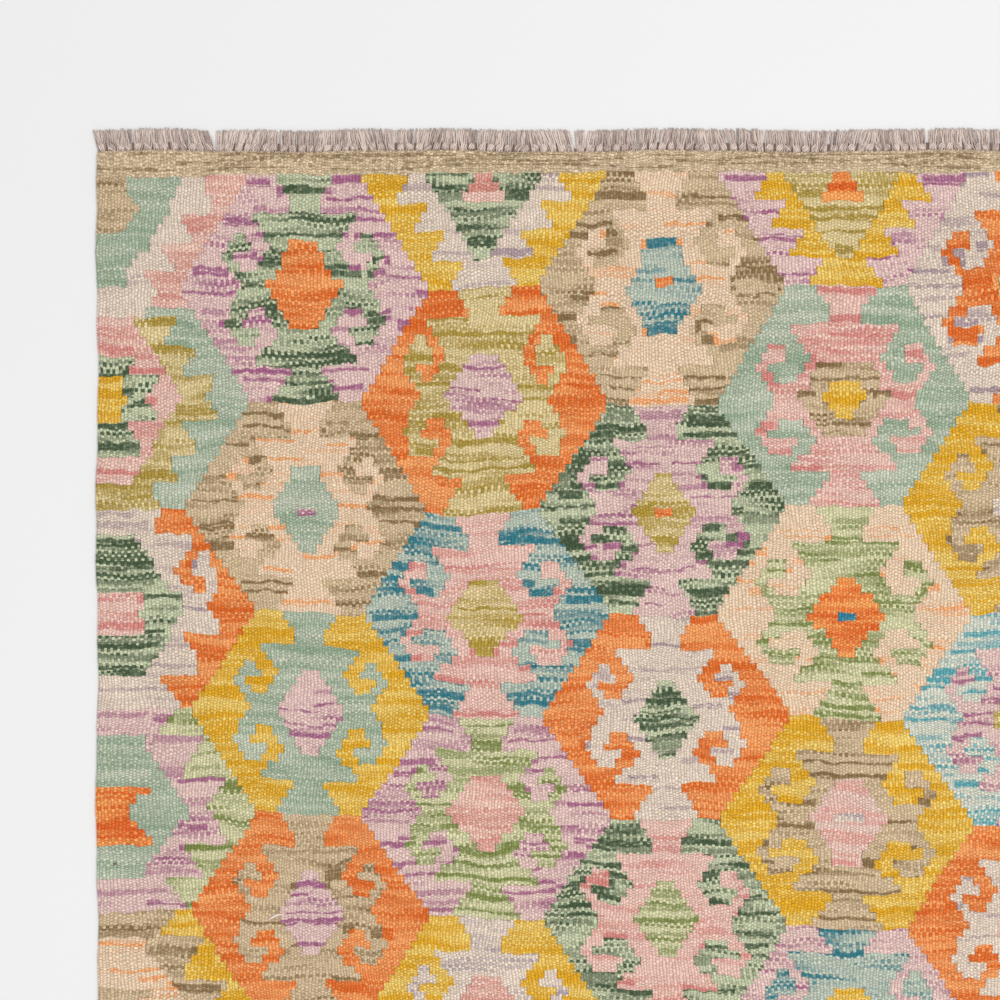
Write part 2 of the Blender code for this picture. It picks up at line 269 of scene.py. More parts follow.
# Streaks of the deeper dye, by column and medallion: top and height in tenths of a row, first cell from its
# middle and how many cells, and the tenths it falls along its way; m marks a half deep one and l a pale one
streaks = {
    (-1, 0): (
        "m20 4 -4 7, m44 4 -4 7, m70 6 4 3, m50 5 7 4, 34 5 10 6, m98 6 5 4, 114 5 5 7, m64 6 -4 8, "
        "m95 5 -4 7"
    ),
    (-1, 1): (
        "59 6 -4 6, 82 7 0 7, 114 10 1 5, 141 5 -4 5, 163 9 -4 7, m42 4 -4 6, m143 17 2 5, 194 6 -4 7, "
        "103 9 -4 6, m134 4 -4 4, 33 7 5 7, 53 11 7 4, 126 8 9 7, 196 8 3 7, m176 10 5 3, m215 8 -4 10"
    ),
    (-1, 2): (
        "m2 5 -4 6, m14 8 -4 8, m38 6 5 6, 35 9 -4 7, 58 4 -4 9, 69 4 -4 9, m86 6 -4 9, 104 8 2 7, "
        "m119 4 3 5, 145 7 -4 10, m155 3 -4 10, 160 6 -4 9, m174 5 -4 8, 188 5 -4 6, 136 6 -4 7, "
        "m94 4 -4 7, 118 4 9 4, m186 5 3 8, m214 4 -4 10, m162 4 6 4, 61 10 10 2"
    ),
    (-1, 3): (
        "9 7 4 3, m4 6 -4 7, 38 3 -4 8, m65 13 4 5, 135 6 8 5, m167 4 6 4, m187 7 3 8, 228 5 3 5, "
        "m214 6 -4 10, m30 8 4 8, 80 5 8 8, m66 5 10 5, 162 5 8 9, m178 6 9 7, 231 6 8 3, 128 12 -4 5, "
        "m160 5 -4 8"
    ),
    (-1, 4): "m22 11 -4 8, 85 9 6 9, 36 4 -4 7, 67 4 -2 7, 76 5 2 4, 43 22 10 4",
    (0, 0): (
        "4 7 -9 4, 1 8 5 5, 12 10 -4 9, l22 10 -3 7, 23 3 4 8, m34 5 -8 6, m34 4 3 6, 47 7 -9 2, "
        "44 4 -2 12, 45 7 -13 4, 44 4 10 4, 61 4 -8 16, 61 5 9 7, 83 4 -12 4, 78 10 -8 2, 86 10 -7 4, "
        "85 10 12 3, 98 9 11 3, 94 13 4 6, 96 8 -18 6, 101 6 -11 2, 106 3 14 6, 115 3 -10 5, 121 4 -20 9, "
        "m139 7 -17 4, 138 6 -7 3, 138 9 7 3, 144 13 11 4, 150 9 -14 3, m160 6 5 3, m172 6 -15 4, "
        "178 2 6 7, 186 3 -6 13, m190 4 -13 6, 199 3 -7 4, 203 6 -12 10, 204 3 3 8, 214 3 -10 7, "
        "216 4 -3 8, 222 5 5 5, 233 7 -6 12"
    ),
    (0, 1): (
        "11 4 -10 7, 25 4 -10 8, 47 3 -13 6, 61 8 -10 4, m82 11 -18 5, 110 3 -19 8, 137 7 -18 6, "
        "151 5 -10 5, 159 11 -16 4, 206 3 -11 9, 217 4 -11 8, 35 7 8 6, m22 4 3 5, m86 4 8 5, 104 6 12 8, "
        "116 5 11 11, 132 3 13 7, m152 7 6 5, 164 7 5 4, 193 8 9 5, 29 3 -3 7, 40 3 -9 8, 47 2 4 4, "
        "60 3 -7 7, 82 4 -14 3, 79 4 3 4, 90 2 -8 5, 105 4 -12 7, 114 4 6 5, 126 4 -2 4, 140 5 -6 3, "
        "153 3 -14 4, 158 4 9 6, 173 4 0 5, 190 4 -7 5, 227 4 -4 8"
    ),
    (0, 2): (
        "m8 5 -9 5, 22 11 -12 10, m46 4 -13 6, 53 19 -9 3, m73 5 -16 4, 90 15 -18 6, 180 7 -14 8, "
        "195 7 -12 5, 206 6 -11 9, m220 6 -10 6, 31 4 4 5, 35 11 9 5, m59 9 12 4, 72 11 14 4, 106 3 13 7, "
        "m126 10 13 6, 153 8 6 5, 173 8 6 3, 173 7 12 4, m195 5 9 4, 204 6 3 9, m230 4 6 3, m96 3 1 3, "
        "110 3 -2 7, 118 2 -5 7 2, 133 2 -4 5 4, 136 3 1 4 -3, 144 6 -3 7"
    ),
    (0, 3): (
        "81 7 -3 7, 95 3 -3 3, m108 3 -4 9, 118 4 -4 10, 126 6 -5 11, 155 5 -3 6, m44 3 -8 17, 66 14 3 3, "
        "99 3 5 4, 86 8 -14 2, 130 4 -14 9, 135 9 6 2, 136 12 11 4, m166 3 9 4, 196 3 4 6, m160 10 -5 2, "
        "m33 4 -11 8, m12 8 5 5, 63 9 12 5, m100 6 13 7, 205 6 4 6"
    ),
    (1, 0): (
        "127 10 -19 7, 153 6 -17 8, m170 10 -15 4, m195 4 -13 6, 127 5 13 7, m134 6 15 3, m154 4 10 8, "
        "175 6 12 3, 211 7 4 7, 237 3 6 3, m131 7 -12 4, m133 6 9 5, m180 5 4 3, m200 4 -8 7, 200 8 2 7, "
        "m178 3 -6 3, m235 3 -4 9, 120 3 -9 8, 133 3 -8 6, m140 9 -7 4, 137 12 4 4, 165 4 -5 11, "
        "m160 4 -5 11, 178 3 -4 4, 178 2 1 4, 187 7 -2 5, l150 6 -6 12, 125 14 -2 5, l140 9 -3 7"
    ),
    (1, 1): (
        "9 4 -4 9, l14 15 -3 7, l37 3 -9 18, 46 4 -8 17, 83 5 -8 4, 100 5 -12 7, 100 4 6 5, 113 4 7 4, "
        "134 6 -8 4, 160 7 -5 11, 182 2 -7 14, 191 4 -8 17, m205 6 -3 7, 70 6 -13 5, l51 17 -11 2, "
        "l55 10 9 3, m72 6 9 5, 148 8 -13 2, l157 8 -12 5, 167 11 -11 3, 0 6 -11 7, m8 4 5 6, 26 2 4 9, "
        "30 3 -9 7, 33 12 -14 5, 51 13 12 4, 100 3 12 7, 108 3 -19 8, m144 25 -17 4, m156 14 13 5, "
        "208 2 -7 4, 212 3 4 7, 83 3 -3 7, 106 2 -5 5, 118 2 2 5, m125 7 -3 7, 139 8 -3 7"
    ),
    (1, 2): (
        "11 8 -11 8, m26 3 -11 5, 59 12 -15 4, 58 3 -10 3, 90 15 -12 4, 122 8 -19 8, m157 4 -10 4, "
        "173 7 -15 5, 213 5 -11 8, 229 6 -10 5, 27 6 3 10 5, 80 9 7 2, 92 8 8 5, 100 10 14 6, m117 3 12 8, "
        "150 14 14 5, m151 4 6 5, 178 7 6 3, 210 6 4 8, 220 6 5 6, m42 7 -10 8, m67 3 -6 15, m108 4 -13 9, "
        "87 11 -15 3, 120 4 6 5, 143 6 -14 4, 153 5 3 3, m173 5 -6 12, 194 7 -9 6, 233 4 -5 11, 80 6 -2 3, "
        "114 3 -4 10, 128 2 0 6, 152 17 -2 5"
    ),
    (1, 3): (
        "m6 4 -9 4, 14 3 -10 5, m38 4 -12 9, 53 8 -14 6, 67 6 -15 3, 98 5 -11 4, m107 3 -19 6, 120 3 -20 9, "
        "m126 3 -19 7, 152 6 -17 4, 150 6 -10 4, 175 7 -15 4, m175 7 -9 3, 189 4 -13 6, m211 4 -11 8, "
        "m223 4 -10 6, 232 4 -10 5, m13 5 4 7, 28 3 3 10 -4, 46 3 9 5, 61 5 7 3, 87 3 15 4, 102 5 14 7, "
        "130 3 13 3, 145 7 15 3, 149 4 6 5, 162 7 14 3, 180 2 8 2, 195 4 8 6, 206 4 3 10, 8 3 -4 9, "
        "m19 5 -4 8, m42 5 -8 6, 49 6 0 9, m59 10 -6 14, 83 9 4 4, m72 4 -5 3, 106 3 -12 7, 130 8 -7 3, "
        "130 5 6 7, 145 12 -14 3, 150 10 2 4, 159 6 -5 3, 165 4 8 5, 176 3 -6 12, 190 5 -8 16, 214 5 -3 8, "
        "230 3 -5 11, 77 3 10 4 6, m99 5 11 3, 65 5 -12 2, m110 4 -6 12, m146 14 -2 5"
    ),
    (2, 0): (
        "22 8 -11 9, 26 3 4 9, m33 3 3 11, 47 5 10 5, 53 5 -14 6, 63 7 -16 4, 62 6 -10 3, m70 10 -9 3, "
        "83 5 -12 5, 100 3 13 7, 123 2 12 9, 128 3 13 7, 131 4 -15 3, 136 7 -10 3, 149 8 -17 3, 156 12 6 3, "
        "168 11 7 3, m175 11 10 6, 180 3 -14 7, 189 2 -14 7, 210 2 -11 8, 221 2 -9 6, 211 4 4 7, 221 3 5 6, "
        "234 6 6 4, m20 4 -2 5 4, 55 3 1 8, 63 2 11 2, m96 4 5 4, m100 5 -9 5, 112 3 7 4, 126 4 -13 4, "
        "215 2 -3 7, 223 4 0 5, 232 5 -5 10, 70 10 -3 7, 113 4 2 5, 157 13 -3 6, m101 5 -4 5, m140 3 -1 6"
    ),
    (2, 1): (
        "m5 14 -9 5, 25 6 -11 9, 32 7 -12 4, m49 4 -13 5, 65 4 -15 3, m84 14 -18 3, 91 6 -12 6, "
        "100 10 -17 4, 117 4 -20 9, 132 5 -17 5, 153 11 -17 3, 157 10 -10 3, 162 11 -7 3, 175 6 -16 5, "
        "182 5 -9 3, 194 5 -13 6, 206 3 -9 6, 213 7 -11 8, 226 3 -9 5, 5 3 5 5, 12 13 5 7, 31 6 4 9, "
        "56 2 8 7, 66 9 12 5, 82 5 6 2, 90 9 7 5, 89 11 15 4, 102 5 8 3, 121 4 12 9, m128 12 14 6, "
        "140 8 7 3, 168 7 13 5, 171 14 6 3, 182 6 9 7, 210 11 5 7, 236 4 6 4, m5 10 -3 7, m37 3 -2 6, "
        "m48 2 -6 9, 66 5 -6 6, 67 2 2 5, m79 3 2 4, 89 9 -15 3, m94 5 3 4, m103 5 -8 4, 108 2 5 8, "
        "135 4 -12 8, m132 3 5 8, 162 5 -14 3, 150 17 11 4, 188 3 -5 11, m202 4 -7 5, 226 2 -3 3, "
        "116 14 -5 4, 152 8 -1 4"
    ),
    (2, 2): (
        "m9 15 -11 8, l26 10 -12 9, m49 4 -12 5, m74 5 -16 4, 139 3 -18 6, m184 5 -13 6, 1 7 5 5, "
        "l22 8 4 5, m33 9 4 9, 63 6 6 4, m149 5 7 4, 237 3 -9 4, 31 5 -3 7, m61 3 1 6, m65 3 -4 5, "
        "99 5 -7 4, m95 3 -4 2, 107 5 5 5, 96 7 11 2, 76 6 9 3, m69 8 -12 3, m83 5 -12 4, 134 6 10 3, "
        "149 7 -14 2, 144 4 -6 3, m170 7 3 3, 189 3 -6 5, m203 3 -2 5, m225 4 -1 6, m162 4 8 4, 100 6 -3 7, "
        "116 2 -4 7 -2, 122 4 -4 10, 131 4 -4 9, m144 20 -2 5"
    ),
    (2, 3): (
        "12 4 -11 7, 25 3 -12 10, 33 3 -13 5, 51 5 -14 7, 63 7 -10 4, 78 6 -18 4, m84 6 -12 6, m96 3 -19 7, "
        "113 3 -16 6, m120 3 -19 7, 134 7 -10 4, m159 5 -17 4, m182 12 -14 6, 200 6 -9 7, m17 3 4 8, "
        "24 5 3 9, m34 6 8 5, 50 3 8 6, 59 8 7 3, m63 5 12 4, m77 5 13 4, 86 7 14 4, 105 4 12 7, "
        "m120 3 13 8, 128 4 14 5, 140 6 14 4, 145 6 6 5, m155 15 5 3, 196 5 3 9, m83 7 -2 5, m97 6 -4 8, "
        "114 5 -5 11, m131 5 -4 8, m150 6 -1 3, 70 14 -14 6, m32 5 -8 14, m102 4 -10 17, m126 7 6 5, "
        "m158 8 -12 4, 188 6 -8 3"
    ),
    (3, 0): (
        "124 6 -19 7, 161 3 -13 2, 188 6 -14 8, 227 4 -10 6, 122 11 14 7, m185 10 8 4, 132 8 -13 6, "
        "141 3 -14 2, 151 5 -9 3, 170 10 -11 7, 205 5 -8 7, m220 3 -4 6, m233 5 -6 10, 129 6 9 4, "
        "153 9 6 4, 191 3 3 5, 205 7 1 8, m123 3 -9 8, 139 7 -7 4, m124 3 2 8, m140 5 4 4, 155 5 -6 13, "
        "165 7 -5 11, l173 7 -4 9, 180 3 -3 7, 195 10 -1 3, 132 6 -2 5, l141 8 -3 7"
    ),
    (3, 1): (
        "2 5 -4 9, 30 9 -2 11, 51 3 -2 11, m57 11 -8 3, 72 16 -7 3, 66 8 8 5, 88 16 -13 3, 108 9 7 5, "
        "143 11 -14 3, m169 3 -4 9, 193 6 -9 6, m194 3 -3 13, 219 2 1 4, 80 5 -4 4, 96 3 -5 11, 110 6 -7 3, "
        "110 5 5 2, 145 2 -4 9, 115 7 -3 7"
    ),
    (3, 2): (
        "m13 7 -2 6, 35 8 -3 6, 41 2 3 6, m53 2 -7 7, m58 7 -8 4, 61 2 -4 4, 69 5 -12 4, 63 8 10 3, "
        "76 4 2 5, m87 13 -15 4, 85 10 13 3, 107 3 5 8, 130 4 -12 7, 148 8 -14 2, m142 8 4 3, m161 2 8 5, "
        "167 6 -12 5, 172 3 -6 13, 186 5 3 6, 197 4 -2 5, 223 6 -4 10, 235 3 -5 11, m28 2 -10 7, "
        "m34 2 -9 6, m23 2 5 5, m32 2 4 8, 82 3 -17 3, m88 3 -12 5, m113 2 -17 6, m114 2 13 7, 156 4 14 3, "
        "m144 2 -16 4, m214 3 4 6, m229 2 6 4, m115 3 -5 11"
    ),
    (3, 3): (
        "6 6 -10 6, 54 6 -14 6, 62 10 -8 2, 92 8 -11 4, 114 7 -19 9, 144 14 -17 3, 164 5 -15 4, "
        "194 9 -13 5, 208 13 -10 7, m11 5 4 6, m30 5 3 6, 51 7 9 6, 73 5 14 3, 79 6 8 5, 102 4 13 7, "
        "145 10 15 3, 144 8 7 5, m197 5 3 10, 215 7 4 7, 50 3 -7 15, 64 5 -6 14, 95 7 -8 3, 123 5 -12 7, "
        "117 3 7 4, 90 8 11 3, 142 8 -14 2, 159 10 3 3, 174 7 6 3, 177 4 -7 3, m176 4 -4 9, 196 3 -4 13, "
        "m206 3 -2 5, 226 4 -4 9, m155 3 9 4, m73 5 -2 5, m103 4 -4 7, m112 5 -5 3, m138 5 -3 7, 162 6 -2 4"
    ),
    (4, 0): (
        "0 4 -9 4, m21 5 -7 4, m47 6 -14 5, 71 11 -8 2, m78 3 -18 4, 102 4 -20 7, 119 3 -20 9, "
        "m131 4 -18 4, m143 8 -13 6, 169 7 -10 3, m188 5 -13 4, 223 6 -9 5, 75 4 -13 4, 80 20 -14 4, "
        "106 17 -11 5, 154 22 -13 5, 192 8 -8 5"
    ),
    (4, 1): (
        "4 8 -9 6, 30 9 -12 4, 29 3 -9 3, 53 11 -8 2, 62 6 -15 4, m102 4 -19 8, 115 4 -20 10, 128 4 -19 8, "
        "m137 7 -17 5, 158 4 -17 4, 186 4 -13 7, 237 3 -8 3, 33 3 -8 5, 47 3 -7 4, m122 3 -10 6, "
        "m138 3 -6 3, m159 21 -12 4, m182 3 -6 3, 150 8 -14 2"
    ),
    (4, 2): (
        "20 5 -10 7, m30 5 -11 8, 40 5 -12 4, 61 5 -15 4, 69 8 -8 3, 79 5 -18 5, 86 4 -10 4, 104 3 -19 8, "
        "m110 3 -19 8, 118 3 -20 10, 135 6 -10 3, m139 5 -18 5, 175 5 -8 2, m180 4 -13 5, 189 8 -12 4, "
        "m224 4 -8 5, 74 4 -13 5, m64 5 -11 3, 82 6 -5 2, 96 6 -7 4, 111 4 -10 5, 123 2 -10 6, 137 5 -12 2, "
        "m190 3 -8 5"
    ),
    (4, 3): "m23 4 -9 6, 150 8 -10 5, 163 5 -7 4, 89 9 -14 3, m103 5 -7 3, m127 3 -10 6",
}
streakDepths = {"l": 0.0, "m": 0.62}
wholeRow = (0.5, 2.0)  # middle and half height of a streak that fills its row
noStreak = (-9.0, 0.0, 0.0)

# Numbers that set each zone's random streaks apart
zoneNumbers = {
    "medallion": 9,
    "edge": 10,
    "left": 1000,
    "right": 1200,
    "bands": (1500, 1510),
    "scatter": (0.618, 61.0),
}


def axisOf(column):
    return weave["firstAxis"] + weave["cellsPerColumn"] * (column + 1)


def streakCells():
    # The cells that carry a streak, with its middle, half height and depth there
    cells = {}
    for (column, index), listed in streaks.items():
        start = (index * 2 - column % 2) * weave["rowsPerStep"]
        for entry in listed.split(", "):
            depth = streakDepths.get(entry[0], 1.0)
            top, height, first, count, *fall = (int(part) for part in entry.lstrip("lm").split())
            for cell in range(count):
                lower = sum(fall) / 10 * cell / max(count - 1, 1)
                upper, under = top / 10 + lower, (top + height) / 10 + lower
                for row in range(int(upper), math.ceil(under)):
                    low, high = max(upper - row, 0.0), min(under - row, 1.0)
                    place = start + row, axisOf(column) + first + cell
                    cells[place] = ((low + high) / 2, (high - low) / 2, depth)
    return cells


def readChart(text):
    return ["".join(part[-1] * int(part[:-1]) for part in line.split()) for line in text.split(", ")]


def halfWidth(row):
    # Cells from the middle of a medallion to its outline, over its rows
    return weave["waist"] + min(row, 2 * weave["rowsPerStep"] - 1 - row)


def weaveMedallion(field, axis, start, firstRow, rows, yarnOf, zone):
    # Fills one medallion, mirrored about its axis; firstRow is where in its rows it starts
    for step, row in enumerate(rows):
        reach = halfWidth(firstRow + step)
        line = row + "o" * (reach - len(row))
        for away, letter in enumerate(line[:reach]):
            for side in (-1, 1):
                ownSide = 0.5 if side > 0 and letter in "or" else 0
                seed = zone * zoneNumbers["medallion"] + "oicgrz".find(letter) + ownSide
                field[start + step][axis + side * away] = (yarnOf[letter], seed)


def hookedRows(kind, lozenges):
    rows = [list(row) for row in readChart(hookCharts[kind])]
    for letter, first, halves in lozenges:
        for step, half in enumerate(halves):
            rows[first + step][:int(half)] = letter * int(half)
    return ["".join(row) for row in rows]


def weaveEdge(field, side, pieces, zone):
    # The cut medallions along one selvedge, out to the outline of the next column
    rowsPerStep = weave["rowsPerStep"]
    for index, (kind, yarnOf) in enumerate(pieces):
        start = max(0, (index * 2 - 1) * rowsPerStep)
        for step, row in enumerate(readChart(edgeCharts[kind])[:fieldRows - start]):
            neighbour = halfWidth((start + step) % (2 * rowsPerStep))
            reach = weave["cellsPerColumn"] + weave["firstAxis"] + 1 - neighbour
            line = row + "o" * (reach - len(row))
            for away, letter in enumerate(line[:reach]):
                cell = away if side < 0 else weave["cellsAcross"] - 1 - away
                seed = zone + index * zoneNumbers["edge"] + "obgrcpvms".find(letter)
                field[start + step][cell] = (yarnOf[letter], seed)


def weaveField():
    # The yarn and the zone number of every cell, row by row from the top
    field = [[None] * weave["cellsAcross"] for _ in range(fieldRows)]
    rowsPerStep = weave["rowsPerStep"]
    zone = 0
    for column, specs in enumerate(columns):
        axis = axisOf(column)
        for index, spec in enumerate(specs):
            zone += 1
            start = (index * 2 - column % 2) * rowsPerStep
            isShifted = column % 2 == 1  # such a column starts and ends with half a medallion
            if isShifted and index in (0, len(specs) - 1):
                rows = readChart(toothChart)
                place = (0, rowsPerStep, rows) if index == 0 else (start, 0, rows[::-1])
                weaveMedallion(field, axis, *place, dict(zip("orgc", spec)), zone)
            else:
                spec += plainLozenge[:5 - len(spec)]
                lozenges = [("z", *spec[3:5]), ("c", *spec[6:8])][:2 if len(spec) > 5 else 1]
                rows = hookedRows(hookKinds.get((column, index), "plain"), lozenges)
                weaveMedallion(field, axis, start, 0, rows, dict(zip("oizc", spec[:3] + spec[5:6])), zone)
    weaveEdge(field, -1, leftEdge, zoneNumbers["left"])
    weaveEdge(field, 1, rightEdge, zoneNumbers["right"])
    return field


# Lengths of the woven steps from the top, and how far each line between them sags: cell, mm
clothShape = {
    "steps": [0.1267, 0.1339, 0.1151, 0.1156, 0.1129, 0.1129, 0.1084, 0.1107] + [0.11038] * 8,
    "sag": (
        ((4, 6.5), (34, 3.0), (64, 1.0), (94, -1.0), (124, 0.0), (184, 1.0)),
        ((4, 0.0), (13, 3.5), (55, 3.0), (64, 2.0), (74, -1.0), (115, -1.5), (124, -0.5), (184, 0.0)),
        ((4, -2.0), (25, -6.0), (34, -4.5), (44, -7.0), (64, -7.0), (85, -4.0), (94, -0.5), (104, -4.0),
         (124, -8.0), (145, -7.0), (154, -3.0), (184, -3.0)),
        ((4, -1.5), (13, -3.0), (34, -3.0), (64, 2.0), (74, -3.0), (94, -5.0), (124, -7.0), (154, -5.0)),
        ((4, -8.0), (25, -8.0), (34, -3.5), (44, -3.5), (85, -3.0), (94, -0.5), (104, -3.0), (124, -4.0),
         (154, -1.0)),
        ((4, -9.0), (13, -11.0), (34, -8.0), (55, -6.0), (64, 1.0), (74, -1.0), (94, -4.0), (115, -5.0),
         (124, 1.0), (154, 3.0)),
        ((4, -8.0), (25, -10.0), (34, -3.5), (44, -5.0), (64, -4.0), (85, -3.0), (94, -0.5), (104, -2.5),
         (124, 2.0), (145, 5.0), (154, 9.0)),
        ((4, -7.0), (13, -9.0), (34, -6.0), (55, -3.0), (64, 0.0), (74, 0.0), (94, 5.0), (115, 9.0),
         (124, 12.0), (154, 12.0)),
        ((4, -5.0), (34, -4.0), (64, 0.0), (94, 6.0), (124, 12.0), (154, 13.0)),
    ),
    # How far each line lies to the right of its even place, in cells: cell, offset
    "drift": (
        ((34, 0.0), (44, -0.1), (64, -0.2), (84, -0.4), (94, -0.8), (124, -0.75)),
        ((14, 0.0), (34, -0.1), (44, -0.2), (64, -0.45), (74, -0.4), (94, -0.6), (115, -1.1), (124, -0.45),
         (134, 0.4)),
        ((25, 0.0), (34, -0.1), (44, -0.1), (64, -0.35), (85, -0.4), (94, -0.8), (104, -0.9), (124, -0.3)),
        ((14, 0.8), (34, 0.5), (54, -0.3), (74, -0.2), (94, -0.35), (115, -0.9), (124, -0.15), (134, -0.1)),
        ((25, 0.9), (34, 0.75), (44, 0.5), (64, -0.4), (85, 0.0), (94, -0.05), (104, -1.1), (124, -0.2)),
        ((14, 1.7), (34, 0.9), (54, 0.0), (74, 0.0), (94, 0.1), (115, -0.2), (124, 0.1), (134, -0.2)),
        ((25, 1.5), (34, 0.7), (44, 0.0), (64, 0.2), (85, -0.1), (94, 0.05), (104, -0.6), (124, 0.15)),
        ((14, 1.5), (34, 0.95), (54, 0.0), (64, 0.2), (94, 0.1), (115, -0.7), (124, 0.1), (134, 0.8)),
        ((25, 1.5), (34, 0.8), (64, 0.2), (94, 0.1), (124, 0.1)),
    ),
    "seenLines": 8,  # the last line that the photograph shows
    "sagFade": 8,  # lines beyond it until the sag is gone
    "driftFade": 3,
    "farSag": (7, 45, 3.7, 5.0),  # beyond it: size in mm, cells to a wave, step from line to line, layer
    # Wavers of the weave: size in metres, then the noise's scale across and along, and its layer
    "lineWaver": (0.0030, 15, 9, 3.1),
    "fineWaver": (0.0026, 44, 13, 7.7),
    "sway": (0.0022, 9, 12, 11.3),
    "jitter": (0.0007, 190, 140, 2.0),
    "pucker": (0.0005, 6, 6, 17.0),
    "endCalm": 0.4,  # share of the line waver that is left at the end bands
    "edgeCalm": (8, 12),  # cells over which the sway and the drift die out at a selvedge
    "rimDrop": 0.0009,  # how far the face falls at the cloth's rim
    "besideRim": 0.25,  # share of that drop on the next line in
}

# Darker twined rows that wander through an end band
bandLook = {
    "lines": ((0.34, 0.22, 2.1), (0.62, 0.30, 8.4), (0.86, 0.16, 5.3)),  # middle, reach and layer
    "lineRun": 16,  # cells to a wave of the line
    "depthRun": 9,  # cells to a wave of its depth
    "layers": (0.5, 4.0, 9.5),
    "lineHalf": 0.05,
    "depth": (0.5, 1.3),  # middle and swing of the depth
    "shown": 0.15,  # least depth that shows
    "shades": (0.40, 0.75),  # added to the depth, and the deepest shade
    "inner": (0.24, 0.06),  # the plain rows beside the field: share of the band, depth
}

# Joins between two yarns, slit or nearly closed, each with painted shade in it
joins = {"seed": 31, "slitChance": 0.13, "closed": 0.35}  # closed: how dark a nearly closed one looks


def wavering(look, x, y):
    return look[0] * noise.noise(Vector((x * look[1], y * look[2], look[3])))


def onLine(points, cell):
    # Follows a list of cells and values along one line of the weave
    if cell <= points[0][0]:
        return points[0][1]
    if cell >= points[-1][0]:
        return points[-1][1]
    index = max(i for i, point in enumerate(points) if point[0] <= cell)
    (startCell, startValue), (endCell, endValue) = points[index], points[index + 1]
    return lerp(startValue, endValue, smooth(startCell, endCell, cell))


def sagOf(level, cell):
    # Below the lines that the photograph shows, the sag fades into a slow waver
    seen = clothShape["seenLines"]
    sag = onLine(clothShape["sag"][min(level, seen)], cell)
    if level > seen:
        size, run, step, layer = clothShape["farSag"]
        sag *= max(0.0, 1 - (level - seen) / clothShape["sagFade"])
        sag += size * noise.noise(Vector((cell / run, level * step, layer)))
    return sag / 1000


def driftOf(place, cell):
    level = min(max(int(place), 0), weave["steps"] - 1)
    seen, fade = clothShape["seenLines"], clothShape["driftFade"]
    ends = [
        onLine(clothShape["drift"][min(at, seen)], cell) * max(0.0, 1 - max(0, at - seen) / fade)
        for at in (level, level + 1)
    ]
    inner = min(cell, weave["cellsAcross"] - cell)
    drift = lerp(*ends, min(max(place - level, 0.0), 1.0)) * smooth(0, clothShape["edgeCalm"][1], inner)
    return drift * rug["width"] / weave["cellsAcross"]


def swayOf(x, y, cell, place):
    inner = min(cell, weave["cellsAcross"] - cell)
    slow = wavering(clothShape["sway"], x, y) * smooth(0, clothShape["edgeCalm"][0], inner)
    return slow + driftOf(place, cell)


def levelY(level, cell):
    return rug["length"] / 2 - rug["endBand"] - sum(clothShape["steps"][:level]) - sagOf(level, cell)


def alongY(place, cell, x):
    # Where a row line runs: -1 to 0 is the top band, 0 to 16 the field, 16 to 17 the bottom band
    steps = weave["steps"]
    if place < 0:
        return lerp(endY(x, 1), levelY(0, cell), place + 1)
    if place > steps:
        return lerp(levelY(steps, cell), endY(x, -1), place - steps)
    level = min(int(place), steps - 1)
    y = lerp(levelY(level, cell), levelY(level + 1, cell), place - level)
    calm = clothShape["endCalm"]
    calm += (1 - calm) * smooth(0.0, 0.5, place) * smooth(steps, steps - 0.5, place)
    return y + (wavering(clothShape["lineWaver"], x, y) + wavering(clothShape["fineWaver"], x, y)) * calm


def clothStops():
    # Where the cloth's mesh is cut, in cells across and in steps along
    rim, cells, steps = weave["rimShare"], weave["cellsAcross"], weave["steps"]
    endRim = rim / 3
    across = [0, rim] + list(range(1, cells)) + [cells - rim, cells]
    band = [index / weave["bandRows"] for index in range(1, weave["bandRows"])]
    along = [-1.0, endRim - 1] + [place - 1 for place in band]
    along += [row / weave["rowsPerStep"] for row in range(fieldRows)]
    along += [float(steps)] + [steps + place for place in band] + [steps + 1 - endRim, steps + 1.0]
    return across, along


def weavePlace(cell, place):
    # Warps across and bead rows down, for the weave's own UV map
    steps, beads = weave["steps"], weave["beadsPerRow"] * weave["rowsPerStep"]
    inBand = min(0.0, place) + max(0.0, place - steps)
    inField = min(max(place, 0.0), steps)
    down = 2 * weave["beadsPerRow"] + beads * inField + weave["bandBeads"] * inBand
    return Vector((cell * weave["warpsPerCell"], down, 0.0))


def ribLift(place):
    depth = min(place + 1, weave["steps"] + 1 - place) * rug["endBand"]
    lift = sum(max(0.0, 1 - (abs(depth - at) / (weave["ribWidth"] / 2)) ** 2) for at in weave["ribOffsets"])
    return weave["ribHeight"] * lift


def linear(shade):
    # Display values to linear ones
    return Vector([c / 3294.6 if c < 10 else ((c / 255 + 0.055) / 1.055) ** 2.4 for c in shade])


def bandStreak(column, inBand):
    # The end band's streak in a cell; inBand runs from the field to the fringe
    first, step, last = bandLook["layers"]
    base, swing = bandLook["depth"]
    least, most = bandLook["shades"]
    for middle, reach, layer in bandLook["lines"]:
        wave = noise.noise(Vector((column / bandLook["lineRun"], layer, first)))
        depth = base + swing * noise.noise(Vector((column / bandLook["depthRun"], layer + step, last)))
        if abs(inBand - middle - reach * wave) < bandLook["lineHalf"] and depth > bandLook["shown"]:
            return *wholeRow, min(most, least + depth)
    share, depth = bandLook["inner"]
    return (*wholeRow, depth) if inBand < share else noStreak


